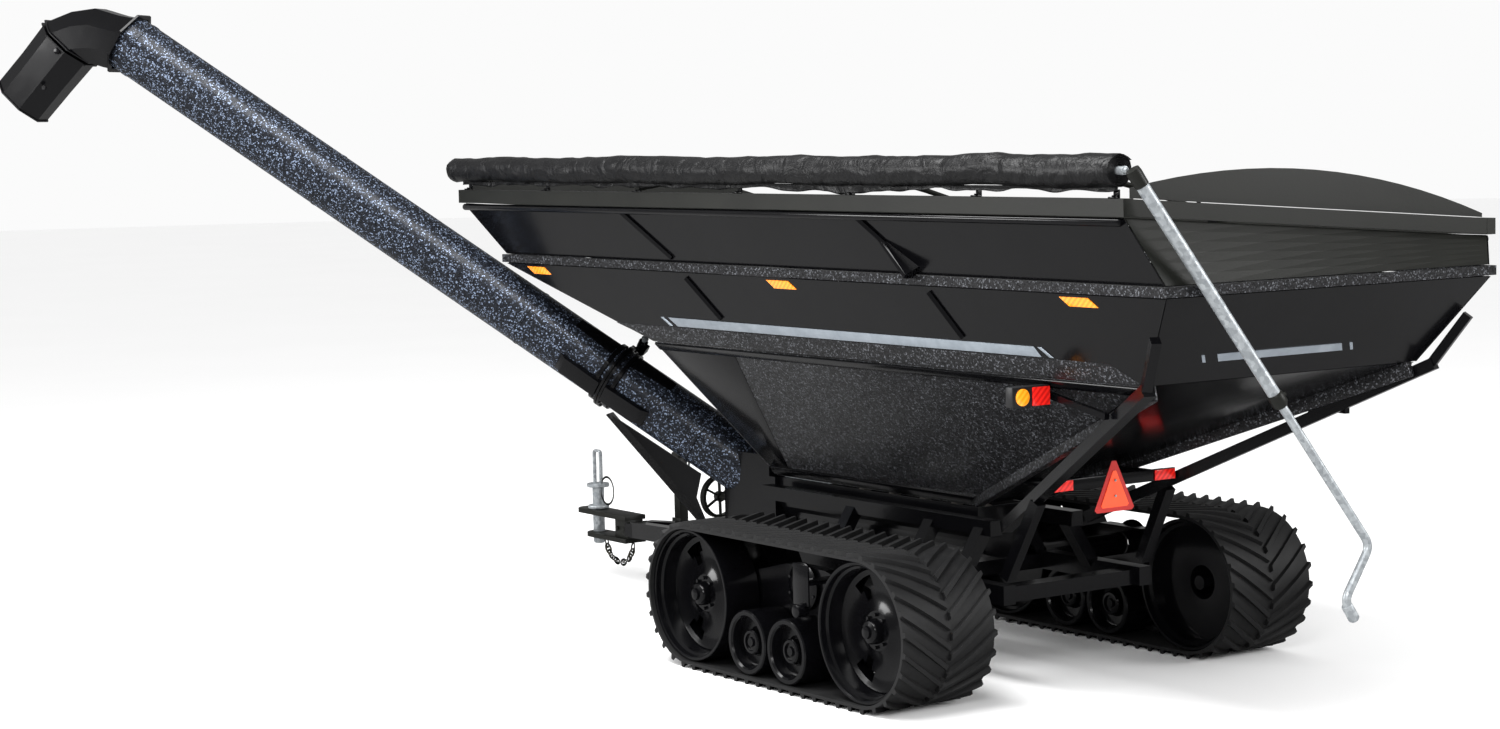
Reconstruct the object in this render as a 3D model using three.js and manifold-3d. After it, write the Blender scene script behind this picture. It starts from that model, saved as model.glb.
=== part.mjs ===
// Tracked grain cart with a folding corner auger.
// Millimetres: +X towards the hitch, +Y to the auger side, +Z up, the ground at z = 0.
// The walls are laid out from the rear rim; the whole cart is then centred over its own footprint.
import * as THREE from "three";
import { mergeVertices } from "three/addons/utils/BufferGeometryUtils.js";
import Module from "manifold-3d";

const wasm = await Module();
wasm.setup();

// ---------- driving dimensions ----------
const CENTRE_X = 6021, // the middle of the cart's length, from the rear rim
  CENTRE_Y = 1497; // the middle of its width, because the auger reaches out on one side only
const GAP = 0.4, // running gap between neighbours
  SHEET = 6, // tank sheet
  SEAM = 12; // how far an end wall stops short of the side walls' outer faces

const RIM_HALF = 1830, // the tank is 12 ft wide over its rim
  RIM_FRONT = 9050,
  RIM_LEFT_Z = 3800, // rail centre on the auger side
  RIM_RIGHT_Z = 3540, // the other side is lower, to clear the combine's spout
  RAIL_WIDTH = 90,
  RAIL_HEIGHT = 120;
const LEDGE_HALF = 1630,
  LEDGE_REAR = -210,
  LEDGE_FRONT = 8650,
  LEDGE_Z = 3230,
  LEDGE_HEIGHT = 70,
  LEDGE_WIDTH = 60;
const SKIRT_HALF = 1340, // foot of the lower walls
  SKIRT_REAR = 300,
  SKIRT_FRONT = 6550,
  SKIRT_Z = 2555;
const HOPPER_FOOT_HALF = 285,
  HOPPER_FOOT_REAR = 3500,
  HOPPER_FOOT_FRONT = 6230,
  HOPPER_FOOT_Z = 1322;
const ARCH_RISE = 250; // of the end caps and bows over the line between the rails

const TROUGH_Z = 1120,
  TROUGH_RADIUS = 255,
  TROUGH_TOP = 1298,
  SUMP_REAR = 6250,
  SUMP_FRONT = 7050,
  SUMP_HALF = 300,
  SUMP_BOTTOM = 800;

const AUGER_HINGE = new THREE.Vector3(7900, 900, 2130), // tube axis at the fold flange
  AUGER_DIRECTION = new THREE.Vector3(0.6289, 0.5441, 0.5554).normalize(),
  TUBE_RADIUS = 270,
  TUBE_WALL = 7,
  LOWER_LENGTH = 1760,
  UPPER_LENGTH = 5700,
  FLIGHT_RADIUS = 240,
  FLIGHT_PITCH = 520;
const FOLDED_DIRECTION = new THREE.Vector3(0.5, -0.77, 0.4).normalize();

const TRACK_OUTER = 2095,
  TRACK_INNER = 1213,
  TRACK_FRONT_X = 4996,
  TRACK_REAR_X = 2681,
  WHEEL_RADIUS = 538,
  BELT_RADIUS = 601,
  ROLLER_RADIUS = 258,
  ROLLER_FRONT_X = 4188,
  ROLLER_REAR_X = 3650,
  PIVOT_X = 3840,
  PIVOT_Z = 780,
  AXLE = 95, // radius of the cross axle that the bogies pivot on
  AXLE_END = 1580;

const PIN_X = 9740,
  TONGUE_Z = 510;

// ---------- helpers ----------
const at = (x, y, z) => new THREE.Vector3(x, y, z);
const Z_UP = at(0, 0, 1);

function solid(geometry) {
  const bare = geometry.clone();
  bare.deleteAttribute("normal");
  bare.deleteAttribute("uv");
  const merged = mergeVertices(bare, 1e-3);
  return new wasm.Manifold(
    new wasm.Mesh({
      numProp: 3,
      vertProperties: merged.attributes.position.array,
      triVerts: new Uint32Array(merged.index.array),
    }),
  );
}

function surface(body) {
  const mesh = body.getMesh();
  const geometry = new THREE.BufferGeometry();
  geometry.setAttribute("position", new THREE.BufferAttribute(mesh.vertProperties, 3));
  geometry.setIndex(new THREE.BufferAttribute(mesh.triVerts, 1));
  geometry.computeVertexNormals();
  return geometry;
}

const join = (...pieces) => surface(pieces.map(solid).reduce((a, b) => a.add(b)));
const cut = (piece, ...tools) =>
  surface(tools.map(solid).reduce((a, b) => a.subtract(b), solid(piece)));

// Stands a shape drawn along +Z on a point, so that its +Z runs along a direction.
function aim(geometry, origin, direction, side = Z_UP) {
  const along = direction.clone().normalize();
  const across = new THREE.Vector3().crossVectors(side, along);
  if (across.length() < 1e-3) across.crossVectors(at(1, 0, 0), along);
  across.normalize();
  const third = new THREE.Vector3().crossVectors(along, across);
  return geometry.applyMatrix4(new THREE.Matrix4().makeBasis(across, third, along).setPosition(origin));
}

function rod(from, to, radius, sides = 16) {
  const run = to.clone().sub(from);
  const round = new THREE.CylinderGeometry(radius, radius, run.length(), sides);
  round.rotateX(Math.PI / 2).translate(0, 0, run.length() / 2);
  return aim(round, from, run);
}

// A square bar between two points: width is level, height is the other way.
function bar(from, to, width, height) {
  const run = to.clone().sub(from);
  const box = new THREE.BoxGeometry(width, height, run.length()).translate(0, 0, run.length() / 2);
  return aim(box, from, run);
}

function block(low, high) {
  const size = high.clone().sub(low);
  return new THREE.BoxGeometry(size.x, size.y, size.z).translate(
    (low.x + high.x) / 2,
    (low.y + high.y) / 2,
    (low.z + high.z) / 2,
  );
}

// A sheet on four corners, anticlockwise from outside; a twisted one is divided into cells.
function sheet(corners, cells = 1, thickness = SHEET) {
  const [a, b, c, d] = corners;
  const normal = new THREE.Vector3()
    .crossVectors(c.clone().sub(a), d.clone().sub(b))
    .normalize();
  const box = new THREE.BoxGeometry(1, 1, 1, cells, cells, 1);
  const position = box.attributes.position;
  for (let i = 0; i < position.count; i++) {
    const low = a.clone().lerp(b, position.getX(i) + 0.5);
    const high = d.clone().lerp(c, position.getX(i) + 0.5);
    const point = low.lerp(high, position.getY(i) + 0.5);
    point.addScaledVector(normal, (position.getZ(i) - 0.5) * thickness);
    position.setXYZ(i, point.x, point.y, point.z);
  }
  return box;
}

// A flat plate drawn in the X-Z plane, from y = from to y = to.
function sidePlate(outline, from, to) {
  const shape = new THREE.Shape(outline.map(([x, z]) => new THREE.Vector2(x, z)));
  const plate = new THREE.ExtrudeGeometry(shape, { depth: to - from, bevelEnabled: false });
  return plate.rotateX(Math.PI / 2).translate(0, to, 0);
}

// A turned piece: profile pairs are [radius, distance along the axis].
function turned(profile, origin, direction, sides = 24) {
  const points = profile.map(([radius, along]) => new THREE.Vector2(radius, along));
  return aim(new THREE.LatheGeometry(points, sides).rotateX(Math.PI / 2), origin, direction);
}

const pipe = (origin, direction, radius, wall, length, sides = 24) =>
  turned(
    [
      [radius - wall, 0],
      [radius, 0],
      [radius, length],
      [radius - wall, length],
      [radius - wall, 0],
    ],
    origin,
    direction,
    sides,
  );

// A screw flight: a radial blade twisted along its shaft.
function screw(origin, direction, radius, shaft, pitch, length) {
  const STEPS_PER_TURN = 8,
    BLADE = 10;
  const blade = new THREE.Shape([
    new THREE.Vector2(0, -BLADE / 2),
    new THREE.Vector2(radius, -BLADE / 2),
    new THREE.Vector2(radius, BLADE / 2),
    new THREE.Vector2(0, BLADE / 2),
  ]);
  const steps = Math.round((length / pitch) * STEPS_PER_TURN);
  const flight = new THREE.ExtrudeGeometry(blade, { depth: length, steps, bevelEnabled: false });
  const position = flight.attributes.position;
  for (let i = 0; i < position.count; i++) {
    const turn = (position.getZ(i) / pitch) * 2 * Math.PI;
    const x = position.getX(i);
    const y = position.getY(i);
    position.setX(i, x * Math.cos(turn) - y * Math.sin(turn));
    position.setY(i, x * Math.sin(turn) + y * Math.cos(turn));
  }
  const STUB = 30;
  const core = new THREE.CylinderGeometry(shaft, shaft, length + 2 * STUB, 12);
  core.rotateX(Math.PI / 2).translate(0, 0, length / 2);
  return aim(join(flight, core), origin, direction);
}

const cart = new THREE.Group();
cart.position.set(-CENTRE_X, -CENTRE_Y, 0);

function add(name, geometry, finish) {
  const mesh = new THREE.Mesh(geometry, new THREE.MeshStandardMaterial(finish));
  mesh.name = name;
  cart.add(mesh);
}

const GLOSS_BLACK = { color: 0x0b0b0d, roughness: 0.12, metalness: 0.1 },
  FLAKE_BLACK = { color: 0x1b1b20, roughness: 0.45, metalness: 0.5 },
  SATIN_BLACK = { color: 0x1d1e1b, roughness: 0.4, metalness: 0.1 },
  RUBBER = { color: 0x141414, roughness: 0.8, metalness: 0 },
  ZINC = { color: 0xb4b8bb, roughness: 0.45, metalness: 0.9 },
  VINYL = { color: 0x101012, roughness: 0.35, metalness: 0 },
  ORANGE = { color: 0xe8431c, roughness: 0.5, metalness: 0 },
  LAMP = { color: 0x17171a, roughness: 0.4, metalness: 0.1 };

// ---------- tank walls ----------
const SEAT = 9, // the walls stop this far from the rail and the ledge
  UPPER_FOOT = LEDGE_Z + LEDGE_HEIGHT / 2 + SEAT,
  LOWER_HEAD = LEDGE_Z - LEDGE_HEIGHT / 2 - SEAT,
  RAIL_INSET = 40, // wall's outer face, inside the rail's outer face
  LEDGE_INSET = 32;

const railFoot = (side) => (side > 0 ? RIM_LEFT_Z : RIM_RIGHT_Z) - RAIL_HEIGHT / 2 - SEAT;

// Sheets face outwards, so a wall on the right lists its corners the other way round.
const facing = (side, corners) => (side > 0 ? corners : corners.reverse());

// Two sloping stiffeners pressed on each side wall: [x at the head, x at the foot].
const RIBS_UPPER = [[6333, 5786], [2990, 2495]],
  RIBS_LOWER = [[5630, 5320], [2370, 2145]],
  RIB_WIDTH = 44,
  RIB_DEPTH = 32;

function sideWall(side, top, foot, ribs, ribFoot) {
  const wall = sheet(
    facing(side, [
      at(foot.rear, side * foot.half, foot.z),
      at(top.rear, side * top.half, top.z),
      at(top.front, side * top.half, top.z),
      at(foot.front, side * foot.half, foot.z),
    ].reverse()),
  );
  const RIB_HEAD = 0.07; // ribs start just short of the wall's head, as a share of its height
  const height = (share) => THREE.MathUtils.lerp(top.z, foot.z, share);
  const reach = (share) => THREE.MathUtils.lerp(top.half, foot.half, share) + RIB_DEPTH / 2 - 6;
  const stiffeners = ribs.map(([head, tail]) =>
    bar(
      at(head, side * reach(RIB_HEAD), height(RIB_HEAD)),
      at(tail, side * reach(ribFoot), height(ribFoot)),
      RIB_WIDTH,
      RIB_DEPTH,
    ),
  );
  return join(wall, ...stiffeners);
}

for (const [word, side] of [["left", 1], ["right", -1]]) {
  add(
    word + "_upper_side",
    sideWall(
      side,
      { half: RIM_HALF - RAIL_INSET, rear: 10, front: RIM_FRONT - 10, z: railFoot(side) },
      { half: LEDGE_HALF - LEDGE_INSET, rear: LEDGE_REAR + 40, front: LEDGE_FRONT - 40, z: UPPER_FOOT },
      RIBS_UPPER,
      0.93,
    ),
    GLOSS_BLACK,
  );
  add(
    word + "_lower_side",
    sideWall(
      side,
      { half: LEDGE_HALF - LEDGE_INSET, rear: LEDGE_REAR + 30, front: LEDGE_FRONT - 40, z: LOWER_HEAD },
      { half: SKIRT_HALF, rear: SKIRT_REAR, front: SKIRT_FRONT, z: SKIRT_Z },
      RIBS_LOWER,
      0.6,
    ),
    GLOSS_BLACK,
  );
}

// An end wall fits between the side walls; outward is +1 at the front and -1 at the rear.
function endWall(outward, topX, topHalf, topLeftZ, topRightZ, footX, footHalf, footZ) {
  const corners = [
    at(footX, footHalf - SEAM, footZ),
    at(footX, -footHalf + SEAM, footZ),
    at(topX, -topHalf + SEAM, topRightZ),
    at(topX, topHalf - SEAM, topLeftZ),
  ];
  return sheet(outward < 0 ? corners : corners.reverse(), topLeftZ === topRightZ ? 1 : 6);
}

const WALL_HALF = RIM_HALF - RAIL_INSET,
  WAIST_HALF = LEDGE_HALF - LEDGE_INSET;
add(
  "rear_upper_wall",
  endWall(-1, 10, WALL_HALF, railFoot(1), railFoot(-1), LEDGE_REAR + 40, WAIST_HALF, UPPER_FOOT),
  SATIN_BLACK,
);
add(
  "front_upper_wall",
  endWall(1, RIM_FRONT - 10, WALL_HALF, railFoot(1), railFoot(-1), LEDGE_FRONT - 40, WAIST_HALF, UPPER_FOOT),
  SATIN_BLACK,
);
add(
  "rear_lower_wall",
  endWall(-1, LEDGE_REAR + 30, WAIST_HALF, LOWER_HEAD, LOWER_HEAD, SKIRT_REAR, SKIRT_HALF, SKIRT_Z),
  GLOSS_BLACK,
);
add(
  "front_lower_wall",
  endWall(1, LEDGE_FRONT - 40, WAIST_HALF, LOWER_HEAD, LOWER_HEAD, SKIRT_FRONT, SKIRT_HALF, SKIRT_Z),
  GLOSS_BLACK,
);

// ---------- rim rail, ledge, end caps and bows ----------
function rimRail() {
  const y = RIM_HALF - RAIL_WIDTH / 2,
    OVERHANG = 30;
  const rear = -OVERHANG,
    front = RIM_FRONT + OVERHANG;
  const long = (side, z) =>
    bar(at(rear, side * y, z), at(front, side * y, z), RAIL_WIDTH, RAIL_HEIGHT);
  const cross = (x) => bar(at(x, y, RIM_LEFT_Z), at(x, -y, RIM_RIGHT_Z), RAIL_WIDTH - 4, RAIL_HEIGHT - 4);
  const inset = RAIL_WIDTH / 2;
  return join(long(1, RIM_LEFT_Z), long(-1, RIM_RIGHT_Z), cross(rear + inset), cross(front - inset));
}
add("rim_rail", rimRail(), SATIN_BLACK);

const LEDGE_LOW = LEDGE_Z - LEDGE_HEIGHT / 2,
  LEDGE_HIGH = LEDGE_Z + LEDGE_HEIGHT / 2;
add(
  "mid_ledge",
  cut(
    block(at(LEDGE_REAR, -LEDGE_HALF, LEDGE_LOW), at(LEDGE_FRONT, LEDGE_HALF, LEDGE_HIGH)),
    block(
      at(LEDGE_REAR + LEDGE_WIDTH, -LEDGE_HALF + LEDGE_WIDTH, LEDGE_LOW - 1),
      at(LEDGE_FRONT - LEDGE_WIDTH, LEDGE_HALF - LEDGE_WIDTH, LEDGE_HIGH + 1),
    ),
  ),
  FLAKE_BLACK,
);

const ARCH_HALF = RIM_HALF - RAIL_WIDTH - 8,
  RAIL_MIDDLE = RIM_HALF - RAIL_WIDTH / 2;
const railTop = (y) =>
  THREE.MathUtils.mapLinear(y, RAIL_MIDDLE, -RAIL_MIDDLE, RIM_LEFT_Z, RIM_RIGHT_Z) + RAIL_HEIGHT / 2 + 4;
const archTop = (y) => railTop(y) + ARCH_RISE * (1 - (y / ARCH_HALF) ** 2);

// The cap is the area between the rail's top and a low arch.
function endCap(x) {
  const STEPS = 16,
    EDGE = 30,
    ROLL_SIDE_LIFT = 40; // the cap is higher beside the roll
  const outline = [new THREE.Vector2(ARCH_HALF, railTop(ARCH_HALF))];
  for (let i = 0; i <= STEPS; i++) {
    const share = 1 - (2 * i) / STEPS;
    const y = ARCH_HALF * share;
    outline.push(new THREE.Vector2(y, archTop(y) + EDGE * share ** 2 + (ROLL_SIDE_LIFT * (1 + share)) / 2));
  }
  outline.push(new THREE.Vector2(-ARCH_HALF, railTop(-ARCH_HALF)));
  const plate = new THREE.ExtrudeGeometry(new THREE.Shape(outline), { depth: SHEET, bevelEnabled: false });
  return plate.applyMatrix4(
    new THREE.Matrix4().makeBasis(at(0, 1, 0), at(0, 0, 1), at(1, 0, 0)).setPosition(at(x, 0, 0)),
  );
}

add("rear_end_cap", endCap(12), SATIN_BLACK);
add("front_end_cap", endCap(RIM_FRONT - 18), SATIN_BLACK);

function bow(x) {
  const RADIUS = 24,
    LIFT = RADIUS + 1,
    STEPS = 14;
  const points = [];
  for (let i = 0; i <= STEPS; i++) {
    const y = RAIL_MIDDLE * (1 - (2 * i) / STEPS);
    points.push(at(x, y, Math.max(archTop(y), railTop(y)) + LIFT));
  }
  const section = new THREE.Shape().absarc(0, 0, RADIUS, 0, 2 * Math.PI);
  return new THREE.ExtrudeGeometry(section, {
    extrudePath: new THREE.CatmullRomCurve3(points),
    steps: STEPS,
    curveSegments: 4,
    bevelEnabled: false,
  });
}

add("tarp_bow_rear", bow(3050), SATIN_BLACK);
add("tarp_bow_front", bow(6050), SATIN_BLACK);

// ---------- hopper under the walls ----------
const HOPPER_HEAD = SKIRT_Z - 7;
for (const [word, side] of [["left", 1], ["right", -1]]) {
  add(
    "hopper_" + word,
    sheet(
      facing(side, [
        at(SKIRT_FRONT - 10, side * (SKIRT_HALF - 6), HOPPER_HEAD),
        at(SKIRT_REAR + 20, side * (SKIRT_HALF - 6), HOPPER_HEAD),
        at(HOPPER_FOOT_REAR, side * HOPPER_FOOT_HALF, HOPPER_FOOT_Z),
        at(HOPPER_FOOT_FRONT, side * HOPPER_FOOT_HALF, HOPPER_FOOT_Z),
      ]),
    ),
    FLAKE_BLACK,
  );
}
add(
  "hopper_rear",
  endWall(
    -1,
    SKIRT_REAR + 25,
    SKIRT_HALF - 12,
    HOPPER_HEAD,
    HOPPER_HEAD,
    HOPPER_FOOT_REAR + 5,
    HOPPER_FOOT_HALF - 2,
    HOPPER_FOOT_Z,
  ),
  GLOSS_BLACK,
);
add(
  "hopper_front",
  endWall(
    1,
    SKIRT_FRONT - 14,
    SKIRT_HALF - 12,
    HOPPER_HEAD,
    HOPPER_HEAD,
    HOPPER_FOOT_FRONT - 5,
    HOPPER_FOOT_HALF - 2,
    HOPPER_FOOT_Z,
  ),
  GLOSS_BLACK,
);

// Round-bottomed trough with a closed rear end, running into the box where the lifting auger starts.
const augerAt = (distance) => AUGER_HINGE.clone().addScaledVector(AUGER_DIRECTION, distance);

function sumpTrough() {
  const halfRound = (radius, top, from, to) => {
    const section = new THREE.Shape()
      .moveTo(radius, top - TROUGH_Z)
      .lineTo(-radius, top - TROUGH_Z)
      .lineTo(-radius, 0)
      .absarc(0, 0, radius, Math.PI, 2 * Math.PI)
      .lineTo(radius, top - TROUGH_Z);
    return new THREE.ExtrudeGeometry(section, { depth: to - from, curveSegments: 10, bevelEnabled: false })
      .applyMatrix4(new THREE.Matrix4().makeBasis(at(0, 1, 0), at(0, 0, 1), at(1, 0, 0)))
      .translate(from, 0, TROUGH_Z);
  };
  const WALL = 8,
    OVER = 60,
    TOWER_REAR = 6340,
    TOWER_TOP = 1480;
  const shell = join(
    block(at(TOWER_REAR, -SUMP_HALF, SUMP_BOTTOM), at(SUMP_FRONT, SUMP_HALF, TOWER_TOP)),
    halfRound(TROUGH_RADIUS, TROUGH_TOP, HOPPER_FOOT_REAR - 20, SUMP_REAR + WALL),
    block(at(SUMP_REAR, -SUMP_HALF, SUMP_BOTTOM), at(SUMP_FRONT, SUMP_HALF, TROUGH_TOP)),
  );
  return cut(
    shell,
    halfRound(TROUGH_RADIUS - WALL, TROUGH_TOP + OVER, HOPPER_FOOT_REAR - 20 + WALL, SUMP_REAR + OVER),
    block(
      at(SUMP_REAR + WALL, -SUMP_HALF + WALL, SUMP_BOTTOM + WALL),
      at(SUMP_FRONT - WALL, SUMP_HALF - WALL, TROUGH_TOP - WALL),
    ),
    block(
      at(TOWER_REAR + WALL, -SUMP_HALF + WALL, SUMP_BOTTOM + WALL),
      at(SUMP_FRONT - WALL, SUMP_HALF - WALL, TOWER_TOP - WALL),
    ),
    rod(augerAt(-LOWER_LENGTH + 110), augerAt(0), TUBE_RADIUS + 4, 24),
  );
}
add("sump_trough", sumpTrough(), GLOSS_BLACK);

const FLOOR_FLIGHT = 170,
  FLOOR_SHAFT = 38;
add(
  "floor_auger",
  screw(at(HOPPER_FOOT_REAR + 60, 0, TROUGH_Z), at(1, 0, 0), FLOOR_FLIGHT, FLOOR_SHAFT, 420, 2560),
  ZINC,
);
add("flow_door", block(at(5500, -238, TROUGH_TOP + 4), at(6180, 238, TROUGH_TOP + 14)), ZINC);

// Belt sheave on a short shaft in front of the sump: a rim, a hub and six flat spokes.
function driveSheave() {
  const RIM = 200,
    RIM_WALL = 24,
    WIDTH = 60,
    HUB = 45;
  const start = at(SUMP_FRONT + 500, 0, 970);
  const rim = pipe(start, at(1, 0, 0), RIM, RIM_WALL, WIDTH, 32);
  const hub = rod(start.clone().add(at(-490, 0, 0)), start.clone().add(at(WIDTH + 20, 0, 0)), HUB / 1.5);
  const boss = rod(start, start.clone().add(at(WIDTH, 0, 0)), HUB);
  const spokes = [0, 1, 2].map((i) => {
    const angle = (i * Math.PI) / 3 + 0.5;
    const reach = at(0, Math.cos(angle), Math.sin(angle)).multiplyScalar(RIM - RIM_WALL / 2);
    const middle = start.clone().add(at(WIDTH / 2, 0, 0));
    return bar(middle.clone().sub(reach), middle.clone().add(reach), 30, 16);
  });
  return join(rim, hub, boss, ...spokes);
}
add("drive_sheave", driveSheave(), SATIN_BLACK);

// ---------- corner auger ----------
const FLANGE_RADIUS = 315,
  FLANGE = 22,
  HINGE_REACH = 368; // hinge pin's distance from the tube's axis
const foldSide = FOLDED_DIRECTION.clone()
  .addScaledVector(AUGER_DIRECTION, -FOLDED_DIRECTION.dot(AUGER_DIRECTION))
  .normalize();
const foldAxis = new THREE.Vector3().crossVectors(AUGER_DIRECTION, foldSide).normalize();
const hingePoint = augerAt(0).addScaledVector(foldSide, HINGE_REACH);
const BORE = TUBE_RADIUS - TUBE_WALL,
  PIN_RADIUS = 22,
  CLEAR = 1.5,
  LIP = 3; // the tube stands this far proud of its flange

const backwards = AUGER_DIRECTION.clone().negate();

// One ear of the hinge: a boss round the pin on a foot that is welded to its own flange.
function ear(direction, shift) {
  const WIDTH = 80,
    BOSS = 44,
    FOOT_LOW = 264.5,
    FOOT_LENGTH = 60;
  const middle = hingePoint.clone().addScaledVector(foldAxis, shift);
  const half = foldAxis.clone().multiplyScalar(WIDTH / 2);
  const boss = rod(middle.clone().sub(half), middle.clone().add(half), BOSS, 12);
  const rise = HINGE_REACH - FOOT_LOW;
  const foot = new THREE.BoxGeometry(WIDTH, FOOT_LENGTH, rise);
  foot.translate(0, CLEAR + LIP * 2 + FOOT_LENGTH / 2, -rise / 2);
  const basis = new THREE.Matrix4().makeBasis(foldAxis, direction, foldSide);
  if (basis.determinant() < 0) basis.makeBasis(foldAxis.clone().negate(), direction, foldSide);
  return join(boss, foot.applyMatrix4(basis.setPosition(middle)));
}

const pinHole = () =>
  rod(
    hingePoint.clone().addScaledVector(foldAxis, -320),
    hingePoint.clone().addScaledVector(foldAxis, 320),
    PIN_RADIUS + 1.5,
    12,
  );
const flange = (from) => pipe(augerAt(from), AUGER_DIRECTION, FLANGE_RADIUS, FLANGE_RADIUS - BORE, FLANGE);

function lowerTube() {
  const body = join(
    pipe(augerAt(-LOWER_LENGTH + 120), AUGER_DIRECTION, TUBE_RADIUS, TUBE_WALL, LOWER_LENGTH - 120 - CLEAR),
    flange(-FLANGE - CLEAR - LIP),
    pipe(augerAt(-1000), AUGER_DIRECTION, TUBE_RADIUS + 9, 12, 40),
    ear(backwards, -200),
    ear(backwards, 200),
  );
  return cut(body, pinHole());
}
add("lower_auger_tube", lowerTube(), FLAKE_BLACK);

function upperTube() {
  const body = join(
    pipe(augerAt(CLEAR), AUGER_DIRECTION, TUBE_RADIUS, TUBE_WALL, UPPER_LENGTH - CLEAR),
    flange(CLEAR + LIP),
    ear(AUGER_DIRECTION, -100),
    ear(AUGER_DIRECTION, 100),
  );
  return cut(body, pinHole());
}
add("upper_auger_tube", upperTube(), FLAKE_BLACK);
add(
  "hinge_pin",
  rod(
    hingePoint.clone().addScaledVector(foldAxis, -280),
    hingePoint.clone().addScaledVector(foldAxis, 280),
    PIN_RADIUS,
    12,
  ),
  ZINC,
);

const AUGER_SHAFT = 50,
  FLIGHT_START = 90, // the lower flight starts this far inside its tube's length
  FLIGHT_END = 40, // and both stop this far from the fold
  UPPER_FLIGHT_REST = 250; // bare length of the upper tube
add(
  "lower_flighting",
  screw(
    augerAt(-LOWER_LENGTH + FLIGHT_START),
    AUGER_DIRECTION,
    FLIGHT_RADIUS,
    AUGER_SHAFT,
    FLIGHT_PITCH,
    LOWER_LENGTH - FLIGHT_START - FLIGHT_END,
  ),
  ZINC,
);
add(
  "upper_flighting",
  screw(
    augerAt(FLIGHT_END),
    AUGER_DIRECTION,
    FLIGHT_RADIUS,
    AUGER_SHAFT,
    FLIGHT_PITCH,
    UPPER_LENGTH - UPPER_FLIGHT_REST,
  ),
  ZINC,
);

// The elbow and the spout lie in the auger's upright plane: [level distance from the hinge, height].
const level = at(AUGER_DIRECTION.x, AUGER_DIRECTION.y, 0).normalize();
const sideways = at(-level.y, level.x, 0);
const planeMatrix = new THREE.Matrix4()
  .makeBasis(level, Z_UP, sideways.clone().negate())
  .setPosition(at(AUGER_HINGE.x, AUGER_HINGE.y, 0));

function duct(outline, half) {
  const shape = new THREE.Shape(outline.map(([s, z]) => new THREE.Vector2(s, z)));
  const slab = new THREE.ExtrudeGeometry(shape, { depth: 2 * half, bevelEnabled: false });
  return slab.translate(0, 0, -half).applyMatrix4(planeMatrix);
}

const ELBOW_HALF = 275,
  DUCT_WALL = 6;
const elbowOuter = duct(
  [[4600, 5528], [4790, 5570], [5030, 5645], [5270, 5622], [5560, 5524], [5142, 5130], [4905, 5062]],
  ELBOW_HALF,
);
const elbowInner = duct(
  [
    [4560, 5505],
    [4790, 5562],
    [5032, 5638],
    [5265, 5614],
    [5480, 5545],
    [5590, 5500],
    [5195, 5100],
    [5140, 5137],
    [4870, 5060],
  ],
  ELBOW_HALF - DUCT_WALL,
);
add(
  "auger_elbow",
  surface(
    solid(elbowOuter)
      .subtract(solid(elbowInner))
      .subtract(solid(rod(augerAt(UPPER_LENGTH - 400), augerAt(UPPER_LENGTH + 2), TUBE_RADIUS + 2, 28))),
  ),
  GLOSS_BLACK,
);

const SPOUT_HALF = 268;
const spoutOuter = duct([[5572, 5512], [6092, 4970], [5696, 4577], [5158, 5114]], SPOUT_HALF);
const spoutInner = duct([[5546, 5529], [6108, 4944], [5722, 4560], [5142, 5140]], SPOUT_HALF - DUCT_WALL);
add("spout_hood", cut(spoutOuter, spoutInner), GLOSS_BLACK);

// Upright plate with a flanged front edge, which carries the lower auger tube on the tongue.
function augerSupport() {
  const web = duct([[70, 1790], [-790, 800], [-830, 800], [-740, 1020], [-790, 1240]], 8);
  const edge = bar(
    at(70, 1790, 0).applyMatrix4(planeMatrix),
    at(-790, 806, 0).applyMatrix4(planeMatrix),
    190,
    14,
  );
  return join(web, edge);
}
add("auger_support", augerSupport(), GLOSS_BLACK);

// ---------- frame ----------
const SILL_Y = 420,
  SILL = 120,
  RAIL_Y = 700;
function mainFrame() {
  const pieces = [];
  for (const side of [1, -1]) {
    pieces.push(bar(at(3050, side * SILL_Y, 1190), at(6200, side * SILL_Y, 1190), SILL, SILL));
    pieces.push(bar(at(2560, side * RAIL_Y, 750), at(5300, side * RAIL_Y, 750), SILL, 150));
    for (const x of [3200, PIVOT_X, 4900]) {
      pieces.push(bar(at(x, side * RAIL_Y, 760), at(x, side * SILL_Y, 1190), SILL, 100));
    }
    pieces.push(rod(at(PIVOT_X, side * RAIL_Y, PIVOT_Z), at(PIVOT_X, side * AXLE_END, PIVOT_Z), AXLE, 20));
  }
  for (const x of [2700, PIVOT_X, 5150]) {
    pieces.push(bar(at(x, -RAIL_Y, 740), at(x, RAIL_Y, 740), 160, 120));
  }
  return join(...pieces);
}
add("main_frame", mainFrame(), GLOSS_BLACK);

for (const [word, side] of [["left", 1], ["right", -1]]) {
  add(
    "frame_tube_" + word,
    join(
      bar(at(190, side * 1420, 2540), at(2930, side * 420, 1215), 90, 90),
      bar(at(2250, side * 667, 1500), at(2585, side * RAIL_Y, 880), 90, 90),
      bar(at(-20, side * 1545, 2900), at(215, side * 1420, 2540), 70, 70),
    ),
    GLOSS_BLACK,
  );
}

// Two converging beams, a deck under the auger support, and the square nose that holds the clevis.
function tongueFrame() {
  const pieces = [1, -1].map((side) =>
    bar(at(5320, side * 620, 735), at(8950, side * 70, TONGUE_Z + 10), 110, 150),
  );
  pieces.push(block(at(6500, -430, 700), at(7480, 430, 796)));
  pieces.push(block(at(8400, -130, TONGUE_Z - 60), at(9060, 130, TONGUE_Z + 70)));
  return join(...pieces);
}
add("tongue_frame", tongueFrame(), GLOSS_BLACK);

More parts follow.
